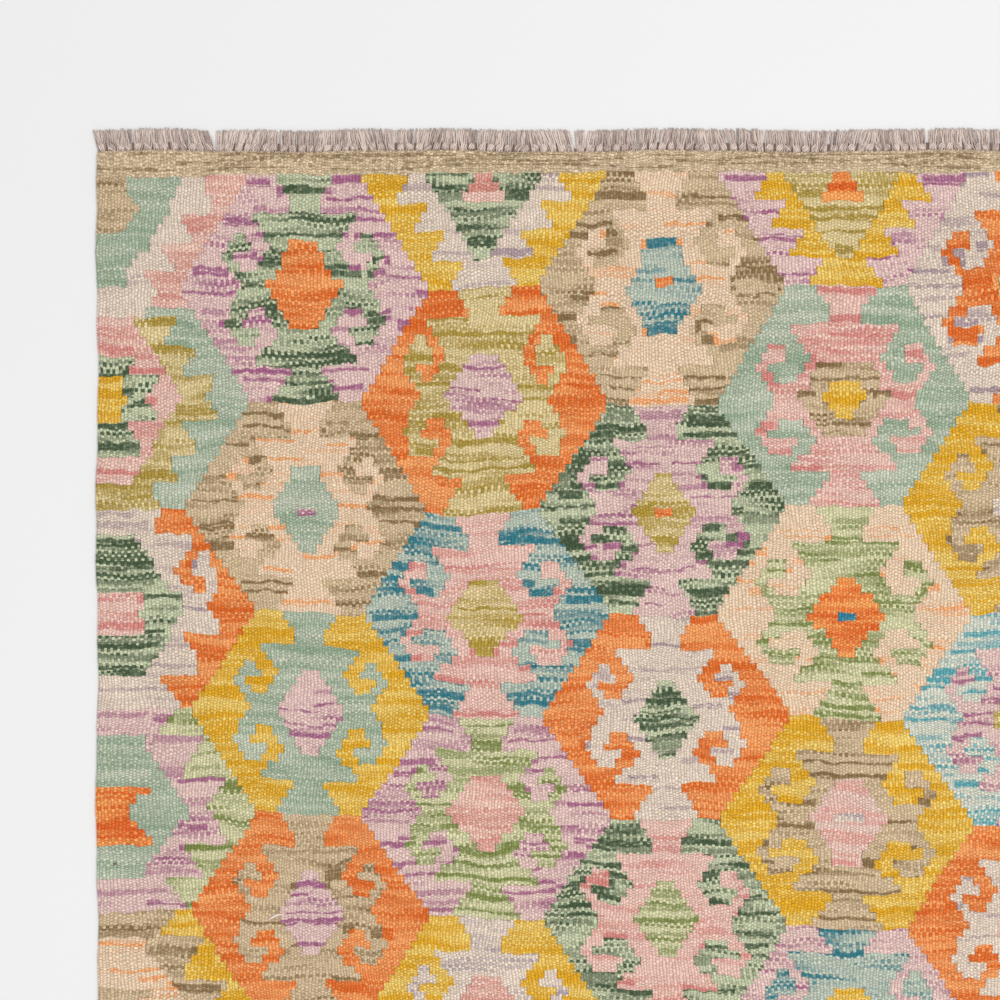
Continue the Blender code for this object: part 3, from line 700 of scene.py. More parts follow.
def dyeCells(mesh, field, wide, tall):
    # Writes on each face its own yarn and its four neighbours', and how open the joins beside it are
    near = mesh.faces.layers.float_vector.new("yarnNear")
    beyond = mesh.faces.layers.float_vector.new("yarnBeyond")
    openings = mesh.faces.layers.float_vector.new("yarnJoins")
    streak = mesh.faces.layers.float_vector.new("yarnStreak")
    marked = streakCells()
    dice = random.Random(joins["seed"])
    last = weave["cellsAcross"] - 1
    factor, turn = zoneNumbers["scatter"]

    def openness(own, other):
        if other == own:
            return 0.0
        return 1.0 if dice.random() < joins["slitChance"] else joins["closed"]

    def yarnAt(row, column):
        inField = 0 <= row < fieldRows
        return field[row][min(max(column, 0), last)] if inField else ("band", zoneNumbers["bands"][row > 0])

    for face in mesh.faces:
        middle = face.calc_center_median()
        column = min(max(int((middle.x + 0.5) * wide) - 1, 0), last)
        row = int((0.5 - middle.y) * tall) - 1 - weave["bandRows"]
        own, left, right, above, below = [
            yarnNames.index(yarnAt(row + down, column + over)[0])
            for down, over in ((0, 0), (0, -1), (0, 1), (-1, 0), (1, 0))
        ]
        face[near] = (own, left, right)
        face[beyond] = (above, below, yarnAt(row, column)[1] * factor % turn)
        face[openings] = (openness(own, left), openness(own, right), 0.0 if above == own else 1.0)
        inBand = max(0 - row, row - fieldRows + 1) / weave["bandRows"]
        inField = marked.get((row, column), noStreak)
        face[streak] = bandStreak(column, inBand) if inBand > 0 else inField


def buildCloth(field):
    # The woven face, cut into its cells, and the same mesh again as the underside
    across, along = clothStops()
    wide, tall = len(across) - 1, len(along) - 1
    cells, steps = weave["cellsAcross"], weave["steps"]
    mesh = bmesh.new()
    bmesh.ops.create_grid(mesh, x_segments=wide, y_segments=tall, size=0.5)
    dyeCells(mesh, field, wide, tall)
    weaveAt = mesh.verts.layers.float_vector.new("weavePlace")
    weaveMap = mesh.loops.layers.uv.new("weave")
    rims = set()
    for point in mesh.verts:
        cell = across[round((point.co.x + 0.5) * wide)]
        place = along[round((0.5 - point.co.y) * tall)]
        point[weaveAt] = weavePlace(cell, place)
        x = (cell / cells - 0.5) * rug["width"]
        y = alongY(place, cell, x)
        inner = min(cell, cells - cell)
        jitter = wavering(clothShape["jitter"], x, y)
        sway = swayOf(x, y, cell, place)
        x = lerp(edgeX(y, -1), edgeX(y, 1), cell / cells) + sway + jitter
        onRim = inner == 0 or place in (-1.0, steps + 1.0)
        drop = clothShape["rimDrop"] * (1.0 if onRim else clothShape["besideRim"] if inner < 1 else 0.0)
        pucker = clothShape["pucker"][0] / 2 + wavering(clothShape["pucker"], x, y)
        point.co = (x, y, rug["thickness"] + max(0.0, pucker) + ribLift(place) - drop)
        if onRim:
            rims.add((round(x, 6), round(y, 6)))
    under = bmesh.ops.extrude_face_region(mesh, geom=mesh.faces[:], use_keep_orig=True)["geom"]
    for point in under:
        if isinstance(point, bmesh.types.BMVert):
            onRim = (round(point.co.x, 6), round(point.co.y, 6)) in rims
            point.co.z = clothShape["rimDrop"] if onRim else 0.0
    bmesh.ops.recalc_face_normals(mesh, faces=mesh.faces[:])
    for face in mesh.faces:
        for loop in face.loops:
            loop[weaveMap].uv = loop.vert[weaveAt].xy
    return mesh


def makePiece(name, mesh, material):
    bmesh.ops.translate(mesh, verts=mesh.verts[:], vec=shift)
    for face in mesh.faces:
        face.smooth = True
    data = bpy.data.meshes.new(name)
    mesh.to_mesh(data)
    mesh.free()
    data.materials.append(material)
    piece = bpy.data.objects.new(name, data)
    bpy.context.scene.collection.objects.link(piece)
    print(name, "made:", len(data.polygons), "faces")
    return piece


class Wire:
    # A shader socket that reckons like a number: each sign adds one Math node to its tree
    def __init__(self, tree, socket):
        self.tree = tree
        self.socket = socket

    def __add__(self, other):
        return calc("ADD", self, other)

    def __sub__(self, other):
        return calc("SUBTRACT", self, other)

    def __mul__(self, other):
        return calc("MULTIPLY", self, other)


def plug(tree, socket, value):
    if isinstance(value, Wire):
        tree.links.new(value.socket, socket)
    else:
        socket.default_value = value


def addNode(tree, kind, values, output=0, **settings):
    # Plugs the values into the node's inputs, by number or name, and gives one of its outputs
    node = tree.nodes.new("ShaderNode" + kind)
    for name, setting in settings.items():
        setattr(node, name, setting)
    for key, value in values.items() if isinstance(values, dict) else enumerate(values):
        plug(tree, node.inputs[key], value)
    return Wire(tree, node.outputs[output])


def calc(operation, first, *others, clamp=False):
    return addNode(first.tree, "Math", (first, *others), operation=operation, use_clamp=clamp)


def scaleAdd(value, factor, added, clamp=False):
    return calc("MULTIPLY_ADD", value, factor, added, clamp=clamp)


def ramp(value, start, end, low=0.0, high=1.0):
    return addNode(value.tree, "MapRange", (value, start, end, low, high), interpolation_type="SMOOTHSTEP")


def vector(first, *others):
    return addNode(first.tree, "CombineXYZ", (first, *others))


def split(value):
    sockets = addNode(value.tree, "SeparateXYZ", (value,)).socket.node.outputs
    return [Wire(value.tree, socket) for socket in sockets]


def attribute(tree, name):
    return split(addNode(tree, "Attribute", (), "Vector", attribute_name=name))


def die(first, *others):
    # A random value for each whole place; a number given with it only sets one die apart from another
    return addNode(first.tree, "TexWhiteNoise", (vector(first, *others),), "Value", noise_dimensions="3D")


def clouds(place, scale=1.0, detail=2.0):
    return addNode(place.tree, "TexNoise", {"Vector": place, "Scale": scale, "Detail": detail})


def waver(place, look, base):
    # Adds clouds to the base: their scale, amount and detail
    scale, amount, detail = look
    return scaleAdd(clouds(place, scale, detail), amount, base)


def about(place, look, middle):
    # Clouds that swing to both sides of the middle
    return waver(place, look, middle - look[1] / 2)


def mixed(share, first, second):
    return addNode(share.tree, "Mix", {0: share, 2: first, 3: second})


def blend(share, first, second):
    # Mixes two colours
    return addNode(share.tree, "Mix", {0: share, 4: first, 5: second}, 1, data_type="VECTOR")


clothLook = {
    "ribScale": 0.95,  # ribs to each of the weave map's own warps
    "beadScale": 0.74,  # beads to each of the weave map's own rows
    "spread": (0.035, 4.0, 1.0),  # slow change of the ribs' pitch: scale, amount, detail
    "wobble": (0.45, 0.16, 0.9),  # waver of the ribs: scale across, scale along, amount
    "bandCrowd": (0.8, 1.5),  # more of it in the end bands: scale, amount
    "uneven": ((0.3, 1.6, 2.0), (0.06, 5.0, 1.0)),  # rows of beads that rise and fall
    "loose": 0.22,  # random shift of the beads on each warp
    "bandLoose": 0.7,
    "patches": (14.0, 0.16, 2.0),
    "grit": (1.4, 1.1, 2.0),
    "fuzz": (2400.0, 0.25, 2.0),
    "lay": (0.05, 0.36, 0.62),  # where beads close up into ribs: scale, start and end
    "ridge": (0.88, 0.12),  # depth between warps, and less where closed up
    "notch": (0.60, 0.33),  # depth between beads, and more where closed up
    # The next two set painted shade between the warps and beads and a painted highlight on the bead tops
    "paintedValleyShade": 0.555,  # brightness between two warps
    "paintedCrownHighlight": 0.65,  # added at the top of a bead
    "grain": 0.17,  # light and dark from bead to bead
    "bandGrain": 0.22,
    # Warm tint of the painted shade
    "paintedShadeTint": (1.02, 0.94, 0.84),
    # Brightens the whole face to make up for the painted shade
    "gain": 1.095,
    "roughness": (0.95, -0.14),  # between the beads, and change at their tops
    "bump": (0.7, 0.0006),  # strength and depth in metres
    "sheen": 0.20,
}

# Where one yarn meets the next, with painted shade in the slits and folds there
joinLook = {
    "turn": (0.9, 0.5, 1.0),  # how far a yarn reaches into the next cell: scale, amount, detail
    "dip": (0.21, 0.9, 1.0),  # and into the next row
    "sides": (0.45, 0.55),  # part of a cell where its left join gives way to its right one
    "slitWidth": 0.14,
    "foldWidth": 0.16,
    "foldShade": 0.22,
    "slitShade": 0.7,
}

# Streaks of the deeper dye that no table marks, some wide and some one pick thin
streakLook = {
    "slope": (0.05, 5.4),  # scale along a row, rise in picks
    "wide": (0.018, 3.1, 0.12),  # scale along a row, shift from zone to zone, scale across the picks
    "thin": (0.035, 5.3, 0.45),
    "level": (0.68, 0.36),  # where the deep shade starts, and how much earlier for a full share of it
    "contrast": (2.5, 7.0),  # for a soft yarn, and added for a crisp one
    "calm": 0.9,
    "ragged": 0.15,
    "edge": (-0.10, 0.14, 0.87),  # a marked streak's soft edge: inside, outside, and strength
    "pickMix": 0.12,
    "beadMix": (0.12, 0.16, 0.5),  # for a soft yarn, added for a crisp one, and added in the end bands
}


wool = {"specular": 0.25, "sheenRoughness": 0.6}


def woolMaterial(name, sheen):
    material = bpy.data.materials.new(name)
    material.use_nodes = True
    shader = material.node_tree.nodes["Principled BSDF"]
    shader.inputs["Specular IOR Level"].default_value = wool["specular"]
    shader.inputs["Sheen Weight"].default_value = sheen
    shader.inputs["Sheen Roughness"].default_value = wool["sheenRoughness"]
    return material, material.node_tree, shader


def finishWool(shader, colour, roughness, height, bump):
    strength, distance = bump
    tree = colour.tree
    plug(tree, shader.inputs["Base Color"], colour)
    plug(tree, shader.inputs["Roughness"], roughness)
    values = {"Strength": strength, "Distance": distance, "Height": height}
    plug(tree, shader.inputs["Normal"], addNode(tree, "Bump", values))


def yarnRamp(index, shades):
    # Looks a yarn's number up in the table of shades
    slots = 32
    place = scaleAdd(index, 1 / slots, 0.5 / slots)
    found = addNode(index.tree, "ValToRGB", (place,))
    colours = found.socket.node.color_ramp
    colours.interpolation = "CONSTANT"
    stops = colours.elements
    for number, shade in enumerate(shades):
        stop = stops[number] if number < 2 else stops.new(number / slots)
        stop.position = number / slots
        stop.color = (*shade, 1.0)
    return found


def pickYarn(tree, weaveAt, u, v):
    # The yarn's number here: near an edge of its cell, the neighbour's yarn reaches over by up to a fifth
    own, left, right = attribute(tree, "yarnNear")
    above, below, zone = attribute(tree, "yarnBeyond")
    turn = about(weaveAt, joinLook["turn"], 0.0)
    dip = about(weaveAt, joinLook["dip"], 0.0)
    cellPart = calc("FRACT", u * (1 / weave["warpsPerCell"])) + turn
    rowPart = calc("FRACT", v * (1 / weave["beadsPerRow"])) + dip
    yarn = own
    for part, low, high in ((cellPart, left, right), (rowPart, above, below)):
        isLow = calc("LESS_THAN", part, 0.0)
        isHigh = calc("GREATER_THAN", part, 1.0)
        yarn = mixed(isLow, yarn, low)
        yarn = mixed(isHigh, yarn, high)
    return yarn, zone, cellPart, rowPart


def layBeads(weaveAt, u, v, inBand):
    # Each pick shows on every other warp, so a bead's pick is even or odd with its warp
    across, along, amount = clothLook["wobble"]
    wobble = clouds(vector(u * across, v * along, 0.0), 1.0, 1.0)
    scale, more = clothLook["bandCrowd"]
    crowd = clouds(weaveAt, scale, 1.0) * (inBand * more)
    spread = scaleAdd(wobble, amount, waver(weaveAt, clothLook["spread"], crowd))
    ribAt = scaleAdd(u, clothLook["ribScale"], spread)
    warp = calc("FLOOR", ribAt)
    odd = calc("MODULO", warp, 2.0)
    uneven = v * clothLook["beadScale"]
    for look in clothLook["uneven"]:
        uneven = waver(weaveAt, look, uneven)
    loose = scaleAdd(inBand, clothLook["bandLoose"], clothLook["loose"])
    uneven = scaleAdd(die(warp, 7.0, 1.0), loose, uneven)
    beadAt = scaleAdd(odd, 0.5, uneven)
    bead = calc("FLOOR", beadAt)
    return ribAt, beadAt, warp, bead, scaleAdd(bead, 2.0, odd)


def streakNoise(look, u, sloped, zone, detail):
    along, shift, across = look
    return clouds(vector(scaleAdd(u, along, zone * shift), sloped * across, zone), 1.0, detail)


def deepShare(tree, u, zone, pick, habits, rowPart, inBand, beadDie, otherDie):
    # How much of the deep shade a bead takes: marked streaks first, then the random ones
    amount, crisp = split(habits)[:2]
    scale, rise = streakLook["slope"]
    sloped = scaleAdd(clouds(vector(u * scale, zone, 4.0)), rise, pick)
    bands = streakNoise(streakLook["wide"], u, sloped, zone, 2.0)
    lines = streakNoise(streakLook["thin"], u, sloped, zone, 0.0)
    streak = scaleAdd(lines, 0.5, bands * 0.5)
    start, earlier = streakLook["level"]
    soft, more = streakLook["contrast"]
    depth = scaleAdd(streak - scaleAdd(amount, -earlier, start), scaleAdd(crisp, more, soft), amount)
    where, half, marked = attribute(tree, "yarnStreak")
    ragged = scaleAdd(otherDie - 0.5, streakLook["ragged"], calc("ABSOLUTE", rowPart - where))
    mask = ramp(ragged - half, *streakLook["edge"], 0.0)
    depth = mixed(mask, calc("MULTIPLY", depth, streakLook["calm"], clamp=True), marked)
    depth = scaleAdd(die(pick, zone, 3.0) - 0.5, streakLook["pickMix"], depth)
    soft, more, banded = streakLook["beadMix"]
    jumble = scaleAdd(inBand, banded, scaleAdd(crisp, more, soft))
    return scaleAdd(beadDie - 0.5, jumble, depth, clamp=True)


def fromMiddle(value):
    # 0 at the middle of each whole step, 1 at its ends
    return calc("POWER", calc("ABSOLUTE", scaleAdd(calc("FRACT", value), 2.0, -1.0)), 2.0)


def beadHeight(weaveAt, ribAt, beadAt, inBand):
    # Round beads that lie apart in places, and elsewhere close up into plain ribs
    scale, start, end = clothLook["lay"]
    lay = calc("MAXIMUM", ramp(clouds(weaveAt, scale, 1.0), start, end), inBand)
    deep, change = clothLook["ridge"]
    ridge = fromMiddle(ribAt) * scaleAdd(lay, change, -deep)
    deep, change = clothLook["notch"]
    notch = fromMiddle(beadAt) * scaleAdd(lay, -change, -deep)
    return (ridge + 1.0) * (notch + 1.0)


def pulse(part, width):
    # 1 where the part crosses a whole number, fading out over the width to either side
    return ramp(calc("ABSOLUTE", part - calc("ROUND", part)), 0.0, width, 1.0, 0.0)


def slitShade(tree, cellPart, rowPart):
    # Painted shade in the slits between two yarns side by side, and faint painted shade along the folds
    # where one starts below another
    openLeft, openRight, openTop = attribute(tree, "yarnJoins")
    slit = pulse(cellPart, joinLook["slitWidth"]) * ramp(
        cellPart, *joinLook["sides"], openLeft, openRight)
    fold = pulse(rowPart, joinLook["foldWidth"]) * (openTop * joinLook["foldShade"])
    slit = slit + fold * calc("LESS_THAN", rowPart, 0.5)
    return scaleAdd(slit, -joinLook["slitShade"], 1.0)


def clothMaterial():
    material, tree, shader = woolMaterial("kilimWool", clothLook["sheen"])
    weaveAt = addNode(tree, "UVMap", (), uv_map="weave")
    u, v = split(weaveAt)[:2]
    yarn, zone, cellPart, rowPart = pickYarn(tree, weaveAt, u, v)
    inBand = calc("LESS_THAN", yarn, 0.5)
    ribAt, beadAt, warp, bead, pick = layBeads(weaveAt, u, v, inBand)
    beadDie = die(warp, bead, 0.0)
    otherDie = die(warp, bead, 5.0)
    light, deep = (yarnRamp(yarn, [linear(look[at]) for look in yarns.values()]) for at in (0, 1))
    habits = yarnRamp(yarn, [(look[2], look[3], 0.0) for look in yarns.values()])
    depth = deepShare(tree, u, zone, pick, habits, rowPart, inBand, beadDie, otherDie)
    colour = blend(depth, light, deep)

    height = beadHeight(weaveAt, ribAt, beadAt, inBand)
    # Painted shade between the warps and beads and a painted highlight on their tops, times random tone from
    # bead to bead and in slow patches
    shade = scaleAdd(height, clothLook["paintedCrownHighlight"], clothLook["paintedValleyShade"])
    grain = scaleAdd(otherDie - 0.5, scaleAdd(inBand, clothLook["bandGrain"], clothLook["grain"]), 1.0)
    shade = shade * (grain * about(weaveAt, clothLook["grit"], 1.0))
    # Painted shade in the slits and folds between yarns
    shade = shade * slitShade(tree, cellPart, rowPart)
    coords = addNode(tree, "TexCoord", (), "Object")
    shade = shade * about(coords, clothLook["patches"], 1.0) * clothLook["gain"]
    # The painted shade takes a warm tint
    paintedShadeWarmth = blend(shade, clothLook["paintedShadeTint"], (1.0, 1.0, 1.0))
    colour = addNode(tree, "VectorMath", (colour, paintedShadeWarmth), operation="MULTIPLY")
    colour = addNode(tree, "VectorMath", {0: colour, "Scale": shade}, operation="SCALE")
    rough, change = clothLook["roughness"]
    fuzz = waver(coords, clothLook["fuzz"], height)
    finishWool(shader, colour, scaleAdd(height, change, rough), fuzz, clothLook["bump"])
    return material


field = weaveField()
print("weave charted:", fieldRows, "rows of", weave["cellsAcross"], "cells")
cloth = makePiece("kilim_weave", buildCloth(field), clothMaterial())

# Warp ends, knotted in locks at both ends, in metres
fringe = {
    "seeds": {1: 7, -1: 8},
    "locks": 126,
    "strandsPerLock": 7,
    "rings": 7,
    "sides": 6,
    "place": 0.0008,  # how far a lock strays from its even place
    "leanWaves": ((0.096, 0.0030, 0.7), (0.210, 0.0036, 2.0)),
    "leanSpread": 0.0023,
    "leanTurn": (-0.006, 0.004),  # lean at which the knots change from left handed to right handed
    "cornerSplay": 0.0060,
    "cornerRun": 0.035,
    "notches": ((-0.5007, 0.0042), (-0.0957, 0.0026), (-0.0337, 0.0028)),  # where locks part: place, size
    "notchRun": 0.022,
    "tones": (0.62, 0.92),
}
strand = {
    "radius": 0.00100,
    "swell": (0.85, 1.0),  # share of the radius at the knot and at the tip
    "swellSpread": (0.92, 1.08),
    "tipShare": 0.75,
    "flat": 0.8,
    "twist": 1.15,  # radians from ring to ring
    "reach": 0.0228,  # from the cloth's end to the cut tips
    "reachSpread": 0.0013,
    "tuck": 0.0018,  # how far the strands start inside the cloth's end
    "fan": (0.0031, 0.0051),  # half width of a lock at its knot and at its tips
    "fanBend": 0.8,
    "leanBend": 1.2,
    "curl": 0.0011,
    "curlTurn": 4.5,
    "clear": 0.0002,  # of the floor
    "everyOther": 0.0006,
    "lift": 0.0004,
    "rise": 0.0005,  # towards the knot
    "tones": (-0.35, 0.22),
    "rootTone": -0.25,
    "tonePerRing": 0.055,
}
knot = {
    "strokes": 3,
    "radius": 0.00105,
    "ends": 0.5,  # share of the radius
    "taper": 0.6,
    "flat": 0.85,
    "twist": 0.35,
    "place": 0.0040,  # from the cloth's end
    "lean": 0.12,
    "turns": (0.35, 0.95),  # radians away from the warps
    "apart": 0.0021,
    "gather": 0.3,
    "lengths": (0.0092, 0.0070),  # of the middle stroke and of the outer ones
    "lengthSpread": (0.85, 1.15),
    "height": 0.0021,
    "bow": 0.0013,
    "tones": (-0.3, 0.35),
}
# A dark sheet of painted shade low among the strands, in metres; its tone gives the darkest end of the
# cotton colours
shadeStrip = {
    "near": -0.0010,
    "far": 0.0080,
    "farAtNotch": 0.0004,
    "notchRun": 0.012,
    "low": 0.0009,
    "high": 0.0013,
    "inset": 0.0015,
    "tone": -1.5,
}


def leanAt(x, dice):
    fromCorner = max(0.0, rug["width"] / 2 - abs(x))
    splay = fringe["cornerSplay"] * max(0.0, 1 - fromCorner / fringe["cornerRun"]) ** 2
    lean = wander(x, fringe["leanWaves"]) + math.copysign(splay, x)
    for place, size in fringe["notches"]:
        lean += math.copysign(size, x - place) * max(0.0, 1 - abs(x - place) / fringe["notchRun"])
    return lean + dice.uniform(-fringe["leanSpread"], fringe["leanSpread"])


def ringsAlong(points, radii, look, dice):
    # Places of a tube's rings, turned along its path, oval and twisting like plied yarn
    turn = dice.uniform(0, 3)
    rings = []
    for index, point in enumerate(points):
        before, after = points[max(index - 1, 0)], points[min(index + 1, len(points) - 1)]
        aim = (after - before).to_track_quat("Z", "Y").to_matrix().to_4x4()
        size = Matrix.Diagonal((radii[index], radii[index] * look["flat"], 1.0, 1.0))
        spin = Matrix.Rotation(turn + look["twist"] * index, 4, "Z")
        rings.append(Matrix.Translation(point) @ aim @ spin @ size)
    return rings


def ringShares():
    return [ring / (fringe["rings"] - 1) for ring in range(fringe["rings"])]


def strandOf(x, lean, slot, side, dice):
    # One warp end: out of the cloth, through the knot, and out to its cut tip
    across = slot / (fringe["strandsPerLock"] - 1) * 2 - 1
    reach = strand["reach"] + dice.uniform(-1, 1) * strand["reachSpread"]
    curl = dice.uniform(-strand["curl"], strand["curl"])
    lift = (slot % 2) * strand["everyOther"] + dice.uniform(0.0, strand["lift"])
    points, radii = [], []
    for share in ringShares():
        px = x + across * lerp(*strand["fan"], share ** strand["fanBend"])
        px += lean * share ** strand["leanBend"]
        px += curl * math.sin(share * strand["curlTurn"] + slot)
        py = endY(x, side) + side * lerp(-strand["tuck"], reach, share)
        radius = strand["radius"] * lerp(*strand["swell"], share) * dice.uniform(*strand["swellSpread"])
        points.append(Vector((px, py, radius + strand["clear"] + lift + strand["rise"] * (1 - share))))
        radii.append(radius)
    radii[-1] *= strand["tipShare"]
    return ringsAlong(points, radii, strand, dice)


def strokeOf(x, lean, side, turn, step, dice):
    # One turn of the knot: a short slanting stroke, side by side with the others
    middle = Vector((x + lean * knot["lean"], endY(x, side) + side * knot["place"]))
    aim = Vector((math.cos(turn), math.sin(turn) * side))
    beside = Vector((-aim.y, aim.x)) * step * knot["apart"]
    length = lerp(*knot["lengths"], abs(step)) * dice.uniform(*knot["lengthSpread"])
    points, radii = [], []
    for share in ringShares():
        bow = math.sin(math.pi * share)
        place = middle + beside * (1 - knot["gather"] * abs(share - 0.5)) + aim * (share - 0.5) * length
        points.append(Vector((*place, knot["height"] + knot["bow"] * bow)))
        radii.append(knot["radius"] * lerp(knot["ends"], 1.0, bow ** knot["taper"]))
    return ringsAlong(points, radii, knot, dice)


def unique(items):
    # Drops what comes twice and, unlike a set, keeps the order
    return list(dict.fromkeys(items))


def growTubes(tubes):
    # Every tube starts as one small circle, and all their rims are extruded together, ring by ring
    mesh = bmesh.new()
    unitAt = mesh.verts.layers.float_vector.new("unitPlace")
    tubeAt = mesh.verts.layers.int.new("tubeNumber")
    toneAt = mesh.verts.layers.float.new("tone")
    rim = []
    for number, (rings, tone, _) in enumerate(tubes):
        made = bmesh.ops.create_circle(mesh, cap_ends=True, segments=fringe["sides"], radius=1.0)["verts"]
        for point in made:
            point[unitAt], point[tubeAt], point[toneAt] = point.co, number, tone
            point.co = rings[0] @ point.co
        rim += unique(edge for point in made for edge in point.link_edges)
    for ring in range(1, fringe["rings"]):
        grown = bmesh.ops.extrude_edge_only(mesh, edges=rim)["geom"]
        fresh = [item for item in grown if isinstance(item, bmesh.types.BMVert)]
        for point in fresh:
            rings, tone, rise = tubes[point[tubeAt]]
            point.co = rings[ring] @ point[unitAt]
            point[toneAt] = tone + rise * ring  # darker in the knot than at the tip
        known = set(fresh)
        touching = unique(edge for point in fresh for edge in point.link_edges)
        rim = [edge for edge in touching if edge.verts[0] in known and edge.verts[1] in known]
    bmesh.ops.edgeloop_fill(mesh, edges=rim)
    return mesh


def layShadeStrip(mesh, left, right, side):
    # A dark strip low among the strands, from inside the cloth's end out under the knots: a sheet of painted
    # shade that shows between the locks and darkens the knots
    near, far = shadeStrip["near"], shadeStrip["far"]
    toneAt = mesh.verts.layers.float["tone"]
    made = bmesh.ops.create_grid(mesh, x_segments=2 * fringe["locks"], y_segments=1, size=0.5)["verts"]
    for point in made:
        x = lerp(left + shadeStrip["inset"], right - shadeStrip["inset"], point.co.x + 0.5)
        apart = min(abs(x - place) for place, _ in fringe["notches"])
        reach = near
        if point.co.y > 0:
            reach = max(lerp(near, far, smooth(0.0, shadeStrip["notchRun"], apart)), shadeStrip["farAtNotch"])
        point[toneAt] = shadeStrip["tone"]
        point.co = (x, endY(x, side) + side * reach, shadeStrip["high"])
    faces = unique(face for point in made for face in point.link_faces)
    under = bmesh.ops.extrude_face_region(mesh, geom=faces, use_keep_orig=True)["geom"]
    for point in under:
        if isinstance(point, bmesh.types.BMVert):
            point.co.z = shadeStrip["low"]


def buildFringe(side):
    dice = random.Random(fringe["seeds"][side])
    left, right = (edgeX(side * rug["length"] / 2, hand) for hand in (-1, 1))
    pitch = (right - left) / fringe["locks"]
    tubes = []
    for lock in range(fringe["locks"]):
        x = left + (lock + 0.5) * pitch + dice.uniform(-fringe["place"], fringe["place"])
        lean = leanAt(x, dice)
        tone = dice.uniform(*fringe["tones"])
        for slot in range(fringe["strandsPerLock"]):
            shade = tone + dice.uniform(*strand["tones"]) + strand["rootTone"]
            tubes.append((strandOf(x, lean, slot, side, dice), shade, strand["tonePerRing"]))
        hand = 1 if dice.random() < smooth(*fringe["leanTurn"], lean) else -1
        turn = math.pi / 2 - hand * dice.uniform(*knot["turns"])
        for stroke in range(knot["strokes"]):
            step = stroke - (knot["strokes"] - 1) / 2
            rings = strokeOf(x, lean, side, turn, step, dice)
            tubes.append((rings, tone + dice.uniform(*knot["tones"]), 0.0))
    mesh = growTubes(tubes)
    # The dark strip of painted shade
    layShadeStrip(mesh, left, right, side)
    bmesh.ops.recalc_face_normals(mesh, faces=mesh.faces[:])
    return mesh


fringeLook = {
    # Dark end of the cotton: darker strands and knots, and the painted shade of the dark strip
    "deepToneAndShade": (128, 106, 98),
    "light": (236, 217, 206),
    "stretch": (1.0, 0.22, 1.0),
    "plies": (520.0, 0.9),  # scale and contrast
    "fibres": (1900.0, 0.5),
    "roughness": (0.97, -0.15),
    "bump": (0.6, 0.0004),
    "sheen": 0.15,
}


def fringeMaterial():
    material, tree, shader = woolMaterial("warpCotton", fringeLook["sheen"])
    coords = addNode(tree, "TexCoord", (), "Object")
    stretched = addNode(tree, "Mapping", {"Vector": coords, "Scale": fringeLook["stretch"]})
    scale, contrast = fringeLook["plies"]
    plies = clouds(stretched, scale, 1.0)
    share = scaleAdd(plies - 0.5, contrast, attribute(tree, "tone")[0])
    scale, contrast = fringeLook["fibres"]
    fibres = clouds(stretched, scale, 1.0)
    share = scaleAdd(fibres - 0.5, contrast, share, clamp=True)
    colour = blend(share, *(linear(fringeLook[key]) for key in ("deepToneAndShade", "light")))
    rough, change = fringeLook["roughness"]
    finishWool(shader, colour, scaleAdd(plies, change, rough), fibres, fringeLook["bump"])
    return material


cotton = fringeMaterial()
topFringe = makePiece("warp_ends_top", buildFringe(1), cotton)
bottomFringe = makePiece("warp_ends_bottom", buildFringe(-1), cotton)

# Small loose ends lying on the face
loose = {
    "seed": 5,
    "flat": 0.8,
    "twist": 0.5,
    "thin": 0.35,  # share of the radius at both ends
    "ends": (  # places in metres, radius, and tone from brown to white
        (((-0.4420, 0.0820), (-0.4372, 0.0850), (-0.4322, 0.0877), (-0.4275, 0.0886), (-0.4225, 0.0875)),
         0.0016, 2.2),
        (((-0.6130, 0.1420), (-0.6108, 0.1440), (-0.6090, 0.1462)), 0.0008, -0.1),
        (((-0.6135, 0.1450), (-0.6105, 0.1437), (-0.6078, 0.1430)), 0.0007, 0.05),
        (((-0.0640, 0.9178), (-0.0605, 0.9163), (-0.0562, 0.9158)), 0.0011, -0.6),
    ),
}


def looseEnd(places, radius):
    # Follows the places in even steps, thin at both ends, half sunk in the weave
    height = rug["thickness"] + clothShape["pucker"][0] + radius / 2
    points, radii = [], []
    for share in ringShares():
        at = share * (len(places) - 1)
        index = min(int(at), len(places) - 2)
        start, end = places[index], places[index + 1]
        x, y = (lerp(start[axis], end[axis], at - index) for axis in (0, 1))
        points.append(Vector((x, y, height)) - shift)
        radii.append(radius * lerp(loose["thin"], 1.0, math.sin(math.pi * share)))
    return ringsAlong(points, radii, loose, random.Random(loose["seed"]))


looseMesh = growTubes([(looseEnd(places, radius), tone, 0.0) for places, radius, tone in loose["ends"]])
bmesh.ops.recalc_face_normals(looseMesh, faces=looseMesh.faces[:])
looseThreads = makePiece("loose_ends", looseMesh, cotton)

for piece, node, finish in (
    (cloth, "kilim_cloth", "kilim_cloth"),
    (topFringe, "fringe_top", "fringe"),
    (bottomFringe, "fringe_bottom", "fringe"),
    (looseThreads, None, "fringe"),
):
    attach(piece, "root")
    if node:
        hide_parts(node)

# Pale floor, soft studio light, and the camera straight above the corner of the rug
studio = {
    "viewWidth": 1.1065,  # of floor that the photograph spans
    "viewCentre": (-0.1842, 0.5469),
    "lens": 100.0,
    "sensor": 36.0,
    "floorHalf": 12.0,
    "floorDrop": 0.0003,
    "floorShade": (241, 241, 241),
    "floorTints": (0.99, 1.01),
    "floorClouds": 1.5,
    "floorRoughness": ((30.0, 0.1, 2.0), 0.75),
    "floorSpecular": 0.15,
    "worldStrength": 0.79,
    "lampPower": 70.0,
    "lampPlace": (2.1, -0.7, 4.2),
    "lampSize": 2.4,
}


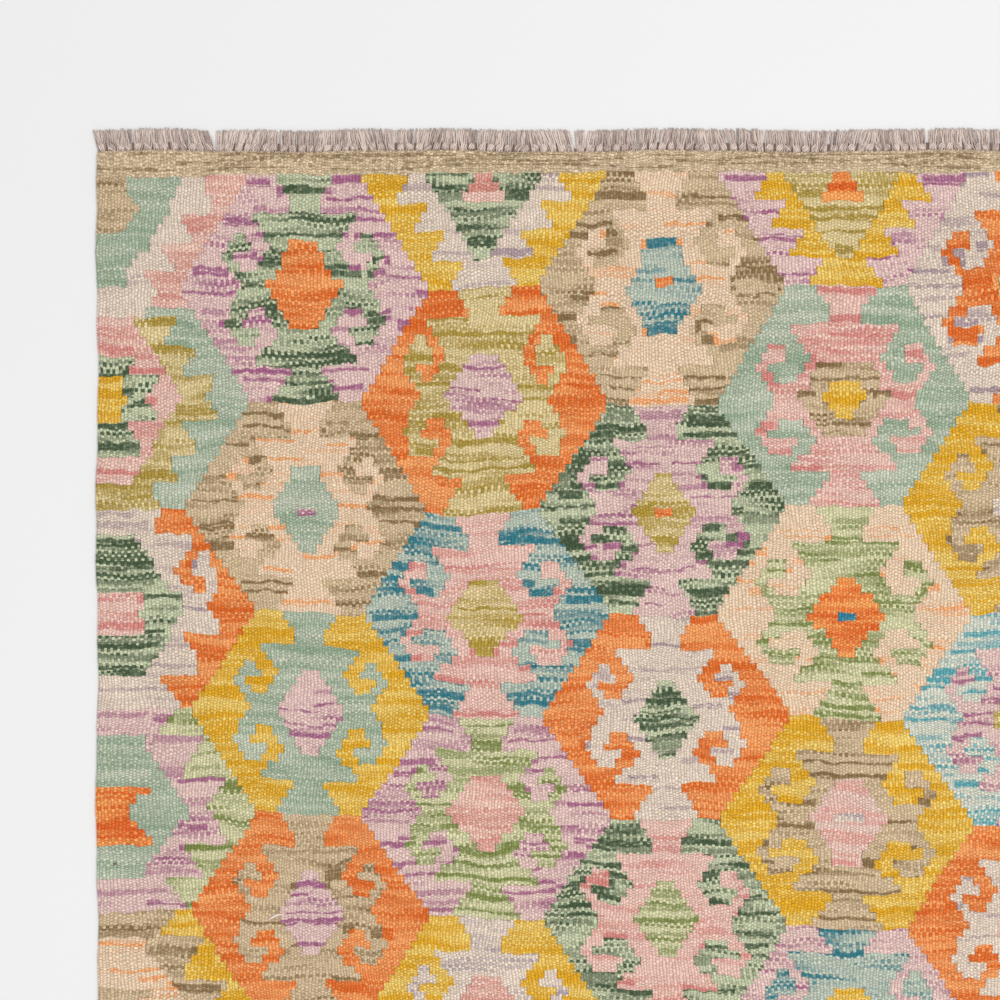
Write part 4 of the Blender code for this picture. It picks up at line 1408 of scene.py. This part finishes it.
def floorMaterial():
    material = bpy.data.materials.new("paleFloor")
    material.use_nodes = True
    tree = material.node_tree
    shader = tree.nodes["Principled BSDF"]
    coords = addNode(tree, "TexCoord", (), "Object")
    shades = [linear(studio["floorShade"]) * tint for tint in studio["floorTints"]]
    plug(tree, shader.inputs["Base Color"], blend(clouds(coords, studio["floorClouds"]), *shades))
    plug(tree, shader.inputs["Roughness"], waver(coords, *studio["floorRoughness"]))
    shader.inputs["Specular IOR Level"].default_value = studio["floorSpecular"]
    return material


def layFloor():
    mesh = bmesh.new()
    bmesh.ops.create_grid(mesh, x_segments=8, y_segments=8, size=studio["floorHalf"])
    bmesh.ops.translate(mesh, verts=mesh.verts[:], vec=(0.0, 0.0, -studio["floorDrop"]))
    floor = makePiece("floor", mesh, floorMaterial())


def lightStudio(target):
    world = bpy.data.worlds.new("studio")
    world.use_nodes = True
    background = world.node_tree.nodes["Background"]
    background.inputs["Color"].default_value = (1.0, 1.0, 1.0, 1.0)
    background.inputs["Strength"].default_value = studio["worldStrength"]
    bpy.context.scene.world = world

    lamp = bpy.data.lights.new("softLamp", "AREA")
    lamp.energy = studio["lampPower"]
    lamp.shape = "DISK"
    lamp.size = studio["lampSize"]
    holder = bpy.data.objects.new("softLamp", lamp)
    holder.location = studio["lampPlace"]
    holder.rotation_euler = (target - holder.location).to_track_quat("-Z", "Y").to_euler()
    bpy.context.scene.collection.objects.link(holder)


def placeCamera(target):
    lens = bpy.data.cameras.new("overhead")
    lens.lens = studio["lens"]
    lens.sensor_width = studio["sensor"]
    height = studio["viewWidth"] * studio["lens"] / studio["sensor"] + rug["thickness"]
    camera = bpy.data.objects.new("overhead", lens)
    camera.location = target + shift + Vector((0.0, 0.0, height))
    bpy.context.scene.collection.objects.link(camera)
    bpy.context.scene.camera = camera
    bpy.context.scene.view_settings.view_transform = "Standard"


viewTarget = Vector((*studio["viewCentre"], 0.0))
layFloor()
lightStudio(viewTarget)
placeCamera(viewTarget)
print("floor, light and camera set")

print("scene ready")
